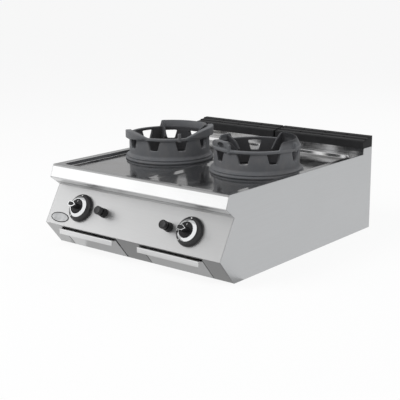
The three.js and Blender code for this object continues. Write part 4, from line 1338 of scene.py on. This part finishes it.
# ---------------------------------------------------------------- controls
@dataclass
class TapControl:
    """Gas tap control: bezel, chrome ring, push-and-turn knob, cap and spindle."""

    name: str
    side: float
    radius: float = 51.0
    shoulder: float = 38.5
    bore: float = 28.0
    ribs: int = 40

    @property
    def home(self) -> Matrix:
        """Gives the control's place on the panel."""
        return panel_matrix(self.side * KNOB_X)

    def bezel(self) -> None:
        """Makes the domed bezel."""
        profile = fillet([(self.bore, 0.3), (self.radius - 0.6, 0.3), (self.radius, 5), (self.radius - 1.8, 10.5),
                          (self.radius - 6, 15.2), (self.shoulder, 18), (self.bore, 18)],
                         [0.3, 1, 4, 6, 6, 1.2, 0.5], closed=True, steps=6)
        dome = lathe(profile, 128, closed=True).moved(self.home)
        part(f"{self.name}_bezel_dome", dome, 40, PLASTIC_BEZEL, "range", f"{self.name}_bezel")

    def marks(self) -> None:
        """Prints the off dot and the two flame marks as thin ink on the bezel's slope."""
        dot = prism(circle(2.8, count=20), 0.0, 0.35)
        flame = prism(fillet([(-1.9, -2.6), (1.9, -2.6), (2.1, 0.2), (0.2, 4.2), (-1.2, 1.4), (-2.1, 0.4)],
                             [1.2, 1.2, 1, 0, 0.4, 0.6], closed=True), 0.0, 0.35)
        tilt = turned(-26, "X")
        seat = place(0, self.radius - 8.6, 16.35)
        inked = together(mark.moved(self.home @ turned(degrees) @ seat @ tilt)
                         for degrees, mark in ((0, dot), (144, flame), (96, flame)))
        part(f"{self.name}_bezel_marks", inked, 35, PRINT, "range")

    def trim(self) -> None:
        """Makes the bright cone between bezel and knob, with a rolled foot."""
        profile = fillet([(self.bore - 0.5, 18.3), (37.6, 18.3), (37.6, 20), (34, 23), (self.bore + 0.8, 27),
                          (self.bore - 0.5, 27)], [0.2, 0.6, 1.2, 6, 0.6, 0.3], closed=True, steps=6)
        cone = lathe(profile, 128, closed=True).moved(self.home)
        part(f"{self.name}_bezel_trim", cone, 50, CHROME, "range", f"{self.name}_bezel_ring")

    def grip_outline(self, inset: float) -> list[Point2]:
        """Gives the bar grip's plan: blunt at one end and pointed at the other."""
        waist, blunt, point = 8.4 - inset, 14.0 - inset, 19.5 - inset * 1.8
        return fillet([(-blunt, -waist * 0.6), (-blunt * 0.7, -waist), (point * 0.35, -waist), (point, 0),
                       (point * 0.35, waist), (-blunt * 0.7, waist), (-blunt, waist * 0.6)],
                      [1.2, 2, 5, 1.4, 5, 2, 1.2], closed=True, steps=5)

    def grip(self, steps: Sequence[Point2], ends: bool = True) -> Shape:
        """Lofts the bar through [inset, height] steps."""
        return skin([at_height(self.grip_outline(inset), height) for inset, height in steps], ends=ends)

    def knob(self) -> None:
        """Makes the knob: a dished disc with a ribbed edge and a bar grip across it."""
        disc = fillet([(0, 12), (26, 12), (26.4, 13.5), (26.4, 28.6), (25, 30), (22.5, 29.8), (21.5, 29), (0, 29)],
                      [0, 0.6, 1, 1, 1, 0.5, 0.8, 0], steps=5)
        body = mesh_object(f"{self.name}_knob_turned", lathe(disc, 112))
        grip = self.grip(((-1.2, 28.2), (-0.5, 30.0), (0.0, 33.0), (0.0, 53.7)))
        crown = self.grip(((2.0, 53.0), (2.0, 55.6), (2.6, 56.0)))
        bar = mesh_object(f"{self.name}_knob_bar", grip + crown)
        rib = mesh_object(f"{self.name}_knob_rib", skin([
            [(25.4, -0.7, z), (26.5, -0.4, z), (26.5, 0.4, z), (25.4, 0.7, z)] for z in (14, 28)], ends=True))
        ribs = round_axis(rib, self.ribs, PLASTIC)
        knob = carried(joined(f"{self.name}_knob_grip", [body, smooth(bar, 40), ribs]), self.home)
        dress(smooth(knob, 40), PLASTIC, f"{self.name}_knob", f"{self.name}_knob")

    def cap(self) -> None:
        """Makes the bright trim round the grip's end, and the white pointer line on the disc."""
        levels = ((0.0, 53.4), (-0.3, 53.8), (-0.3, 56.6), (0.2, 57.2), (1.5, 57.2), (1.8, 56.6), (1.8, 53.4),
                  (0.0, 53.4))
        edge = self.grip(levels, ends=False).moved(self.home)
        part(f"{self.name}_knob_trim", edge, 40, CHROME, f"{self.name}_knob", f"{self.name}_knob_cap")
        line = prism(rounded_rect(-0.8, 0.8, 15.0, 20.8, 0.7, 3), 28.8, 29.4).moved(self.home)
        part(f"{self.name}_knob_pointer", line, 35, PRINT, f"{self.name}_knob")

    def build(self) -> None:
        """Makes the whole control, with softened copies of its spindle and plunger."""
        self.bezel()
        self.marks()
        self.trim()
        self.knob()
        self.cap()
        from_node(f"{self.name}_valve_spindle", BRASS, f"{self.name}_knob")
        from_node(f"{self.name}_valve_plunger", BRASS, f"{self.name}_knob_press")


@dataclass
class Igniter:
    """Piezo igniter: collar, push button and body behind the panel."""

    name: str
    collar: float = 16.5
    button: float = 15.0

    def build(self) -> None:
        """Makes the igniter at its place on the panel."""
        home = panel_matrix(IGNITER_X[self.name])
        sleeve = fillet([(11, 0.3), (self.collar, 0.3), (self.collar, 7), (self.collar - 1.5, 8.6),
                         (self.collar - 1.5, 19), (self.collar - 2.6, 20), (11, 20)],
                        [0, 0.6, 1, 0.8, 1, 0.8, 0.6], closed=True, steps=4)
        collar = lathe(sleeve, 72, closed=True).moved(home)
        part(f"{self.name}_igniter_sleeve", collar, 40, PLASTIC, "range", f"{self.name}_igniter_collar")
        push = fillet([(0, 8), (10, 8), (10, 27), (self.button, 27), (self.button, 39), (self.button - 2.4, 41.6),
                       (9, 40.6), (0, 40.2)], [0, 0.5, 0.5, 1, 2, 1.5, 2, 0], steps=5)
        moving = f"{self.name}_igniter_button"
        part(f"{self.name}_igniter_push", lathe(push, 72).moved(home), 40, PLASTIC_BEZEL, moving, moving)
        from_node(f"{self.name}_igniter_body", PLASTIC, width=0.6)


# ---------------------------------------------------------------- drawers and gas inlet
@dataclass
class Drawer:
    """Drip drawer: folded steel front with its pull lip, tray and rails."""

    name: str
    side: float
    centre: float = 188.0
    width: float = 268.0
    gap: float = 0.0
    play: float = 1.8
    lip_shift: float = 3.0
    foot: float = 3.5
    fold: float = 2.6

    @staticmethod
    def depth(z: float) -> float:
        """Gives the lower front's depth at a height."""
        depth, height = PANEL_FOOT
        return FRONT_FOOT + (depth - FRONT_FOOT) / height * z

    def front(self) -> None:
        """Folds the front from one sheet with hemmed corners; gap is the extra play at its right end."""
        lip_y, shelf, lip_foot = -470.0, 75.6, 57.0
        joint = lip_y + 5.0
        low, high, under = self.depth(self.foot), self.depth(shelf), self.depth(shelf - SHEET)
        outline = fillet([
            (low, self.foot), (low + self.fold, self.foot), (high + self.fold, shelf), (joint, shelf),
            (joint, shelf - SHEET), (under, shelf - SHEET)], [0.5, 0.5, 2.0, 0.2, 0.2, 1.2],
            closed=True, steps=5)
        lip_outline = fillet([
            (joint, shelf), (lip_y, shelf), (lip_y, lip_foot), (lip_y + SHEET, lip_foot),
            (lip_y + SHEET, shelf - SHEET), (joint, shelf - SHEET)], [0.2, 2.4, 0.8, 0.8, 1.0, 0.2],
            closed=True, steps=5)
        middle = self.side * self.centre
        half = self.width / 2 - self.play
        left, right = middle - half, middle + half - self.gap
        front = mesh_object(f"{self.name}_drawer_face", across(outline, left, right))
        dress(eased(front, 0.5, 2, 50), STEEL_DRAWER, f"{self.name}_drawer", f"{self.name}_drawer_front")
        # The lip is a lighter copy of the drawer's steel, a painted highlight on its face.
        lip = mesh_object(f"{self.name}_drawer_lip", across(
            lip_outline, left - self.lip_shift, right - self.lip_shift))
        dress(eased(lip, 0.4, 2, 50), STEEL_LIP, f"{self.name}_drawer")

    def build(self) -> None:
        """Makes the drawer and its rails."""
        self.front()
        from_node(f"{self.name}_drawer_tray", ZINC, f"{self.name}_drawer", 0.5)
        for rail in ("a", "b"):
            from_node(f"{self.name}_drawer_rail_{rail}", ZINC)


@dataclass
class GasInlet:
    """Supply pipe inside the casing and the union behind it."""

    x: float = -352.0
    rear: float = 467.3
    height: float = 70.0
    bore: float = 7.0
    thread_pitch: float = 1.1
    thread_start: float = 13.0
    thread_end: float = 22.5

    def build(self) -> None:
        """Makes the pipe, the hexagon nut and the threaded spigot."""
        dress(smooth(node_copy("gas_manifold", "gas_manifold_pipe"), 50), ZINC, "range", "gas_manifold")
        nut = mesh_object("gas_union_nut", prism(circle(14, count=6), 0, 12))
        hole = mesh_object("gas_union_bore", prism(circle(9.3, count=48), -1, 13))
        nut = eased(cut_from(nut, hole), 0.7)
        height = self.thread_start
        thread: list[Point2] = [(9.4, 6.0), (9.4, height)]
        while height < self.thread_end:
            thread += [(10.5, height + self.thread_pitch / 2), (9.5, height + self.thread_pitch)]
            height += self.thread_pitch
        thread += [(9.6, 24.0), (self.bore, 24.0), (self.bore, 6.0), (9.4, 6.0)]
        spigot = mesh_object("gas_union_spigot", lathe(thread, 48))
        lie = place(self.x, self.rear, self.height) @ turned(-90, "X")
        union = carried(joined("gas_union_fitting", [nut, smooth(spigot, 30)]), lie)
        dress(smooth(union, 30), BRASS, "range", "gas_union")


@dataclass
class Badge:
    """Bare oval plate at the lower left of the control panel."""

    x: float = -338.5
    rise: float = 28.0
    half_width: float = 44.0
    half_height: float = 18.5

    def oval(self, shrink: float) -> list[Point2]:
        """Gives the plate's outline, shrunk all round."""
        across_half, up_half = self.half_width - shrink, self.half_height - shrink
        return [(x * across_half, y * up_half) for x, y in circle(1.0, count=72)]

    def build(self) -> None:
        """Makes the blank plate with a raised dark border."""
        home = panel_matrix(self.x, self.rise)
        plate = mesh_object("badge_blank", prism(self.oval(1.2), 0.15, 0.9).moved(home))
        dress(eased(plate, 0.25), BADGE, "range")
        levels = ((0.0, 0.1), (0.3, 1.3), (3.2, 1.3), (3.5, 0.5), (3.5, 0.1), (0.0, 0.1))
        rim = skin([at_height(self.oval(shrink), height) for shrink, height in levels])
        part("badge_rim", rim.moved(home), 35, ENAMEL, "range")


# ---------------------------------------------------------------- stage
@dataclass(frozen=True)
class Card:
    """One upright card beside the stage that only gloss sees, painting a reflection in the metal: where it stands,
    its size and its glow.
    """

    name: str
    direction: float
    distance: float
    width: float
    low: float
    high: float
    glow: float
    shift: float = 0.0

    def corners(self) -> list[Point3]:
        """Gives the upright card's corners in metres, before it is turned to its direction."""
        left, right = self.shift - self.width / 2, self.shift + self.width / 2
        return [(self.distance, left, self.low), (self.distance, right, self.low),
                (self.distance, right, self.high), (self.distance, left, self.high)]

    def build(self) -> None:
        """Stands the card facing the object, unseen by the camera and out of the diffuse light."""
        shape = Shape([tuple(value / MM for value in point) for point in self.corners()], [(0, 1, 2, 3)])
        card = mesh_object(self.name, shape.moved(turned(self.direction)))
        recipe = Recipe(self.name + "_paper")
        recipe.surface(Base_Color=(0.0, 0.0, 0.0, 1.0), Roughness=1.0, Specular_IOR_Level=0.0,
                       Emission_Color=WHITE, Emission_Strength=self.glow)
        card.data.materials.append(recipe.material)
        for ray in ("camera", "diffuse", "transmission", "shadow"):
            setattr(card, f"visible_{ray}", False)


@dataclass(frozen=True)
class FloorCard(Card):
    """A card that lies on the floor: low and high are its near and far edge from the middle."""

    def corners(self) -> list[Point3]:
        """Gives the lying card's corners in metres; distance is its height over the floor."""
        left, right = self.shift - self.width / 2, self.shift + self.width / 2
        return [(self.low, left, self.distance), (self.high, left, self.distance),
                (self.high, right, self.distance), (self.low, right, self.distance)]


@dataclass(frozen=True)
class Lamp:
    """One square soft lamp: its place, the point it looks at and its edge in metres, its power in watts."""

    name: str
    at: Point3
    aim: Point3
    size: float
    power: float

    def build(self) -> None:
        """Hangs the lamp, out of the gloss."""
        data = bpy.data.lights.new(self.name, "AREA")
        data.shape = "SQUARE"
        data.size = self.size
        data.energy = self.power
        made = linked(self.name, data)
        made.location = self.at
        made.rotation_euler = (Vector(self.aim) - Vector(self.at)).to_track_quat("-Z", "Y").to_euler()
        made.visible_glossy = False


@dataclass
class Studio:
    """Camera at the photograph's viewpoint, pale floor, pale surround and soft lamps."""

    camera_place: Point3 = (2.09385, -2.62936, 0.96249)
    azimuth: float = 39.32
    elevation: float = 13.79
    roll: float = -0.38
    lens: float = 83.86
    floor_half: float = 45000.0
    floor_level: float = -0.2
    floor_tone: float = 0.86
    floor_white: float = 0.9
    fill: float = 0.32
    fill_colour: tuple[float, ...] = (0.97, 0.985, 1.0, 1.0)
    # Each card paints a reflection: card_left, glowing past white, is a painted highlight on the nose; the others
    # glow less than the white surround and paint reflected shade, with card_foot and card_foot_edge standing for the
    # shadow on the floor under the front overhang.
    cards: tuple[Card, ...] = (
        Card("card_behind", 118.0, 4.2, 6.4, 0.3, 2.6, 0.52),
        Card("card_front", -104.0, 4.2, 4.2, 2.1, 5.0, 0.4),
        Card("card_left", -138.0, 3.8, 4.6, 0.85, 2.0, 1.75),
        Card("card_far", 50.0, 4.2, 3.6, 0.35, 3.4, 0.14),
        FloorCard("card_foot", -90.0, 0.0008, 0.82, 0.34, 0.6, 0.48, 0.14),
        FloorCard("card_foot_edge", -90.0, 0.0008, 0.08, 0.34, 0.6, 0.74, -0.31),
    )
    lamps: tuple[Lamp, ...] = (
        Lamp("key_soft", (-1.8, -2.4, 3.2), (0.0, 0.0, 0.2), 2.4, 125.0),
        Lamp("fill_soft", (3.2, -0.8, 2.4), (0.0, 0.0, 0.2), 2.0, 38.0),
        Lamp("back_soft", (0.4, 3.2, 2.8), (0.0, 0.0, 0.3), 2.2, 45.0),
    )

    def camera(self) -> None:
        """Sets the camera."""
        data = bpy.data.cameras.new("photo_view")
        data.lens = self.lens
        data.sensor_width = 36.0
        data.clip_end = 200.0
        made = linked("photo_view", data)
        turn = turned(self.azimuth) @ turned(90 - self.elevation, "X") @ turned(self.roll)
        made.matrix_world = Matrix.Translation(self.camera_place) @ turn
        bpy.context.scene.camera = made

    def floor(self) -> None:
        """Lays the pale floor."""
        half = self.floor_half
        corners = [(-half, -half), (half, -half), (half, half), (-half, half)]
        plane = mesh_object("floor", Shape([(x, y, self.floor_level) for x, y in corners], [(0, 1, 2, 3)]))
        recipe = Recipe("floor_paper")
        tone = (self.floor_tone,) * 3
        recipe.surface(Base_Color=recipe.blend(recipe.noise(60.0), tone, toned(tone, 0.985)), Roughness=0.9,
                       Specular_IOR_Level=0.1)
        recipe.whiten(self.floor_white)
        plane.data.materials.append(recipe.material)

    def world(self) -> None:
        """Surrounds the stage with an even white that the eye and gloss see, and a softer fill."""
        world = bpy.data.worlds.new("surround")
        world.use_nodes = True
        world.node_tree.nodes.clear()
        tree = Tree(world.node_tree)
        seen = tree.node("ShaderNodeBackground", None, {"Color": WHITE, "Strength": 1.0})
        fill = tree.node("ShaderNodeBackground", None, {"Color": self.fill_colour, "Strength": self.fill})
        mix = tree.node("ShaderNodeMixShader", None, {
            0: tree.looked_at(), 1: fill.outputs[0], 2: seen.outputs[0]})
        tree.node("ShaderNodeOutputWorld", None, {"Surface": mix.outputs[0]})
        bpy.context.scene.world = world

    def build(self) -> None:
        """Sets up camera, floor, surround, cards and lamps."""
        self.camera()
        self.floor()
        self.world()
        for item in (*self.cards, *self.lamps):
            item.build()
        bpy.context.scene.view_settings.view_transform = "Standard"


RINGS = {
    "left": RingPattern(
        -199.0, 8.5, (Lobe(-134, -80, 4, 34, 11, 17, 21, 29), Lobe(-26, 54, 42, 4, 12, 27, 20, 30),
                      Lobe(60, 145, 8, 3, 4, 23)),
        (-130.0, 50.0, 141.0), (-35.0,)),
    "right": RingPattern(
        STATION_X, 8.5, (Lobe(163, 189, 3, 6, 0, 18), Lobe(-146, -92, 30, 3, 2, 27, 14), Lobe(-24, 88, 12, 3, -14)),
        (-96.0, 86.0, 172.0), (-92.0, 6.0), (-107.0,)),
}


def main() -> None:
    """Builds the stage and every sub-assembly."""
    logging.basicConfig(level=logging.INFO, format="%(message)s")
    Studio().build()
    Casing().build()
    Worktop().build()
    Badge().build()
    GasInlet().build()
    for name, side in SIDES:
        WokRing(name, RINGS[name]).build()
        FlueCover(name, side).build()
        Burner(name, side).build()
        TapControl(name, side).build()
        Igniter(name).build()
        Drawer(name, side, gap=DRAWER_PLAY[name]).build()


if __name__ == "__main__":
    main()
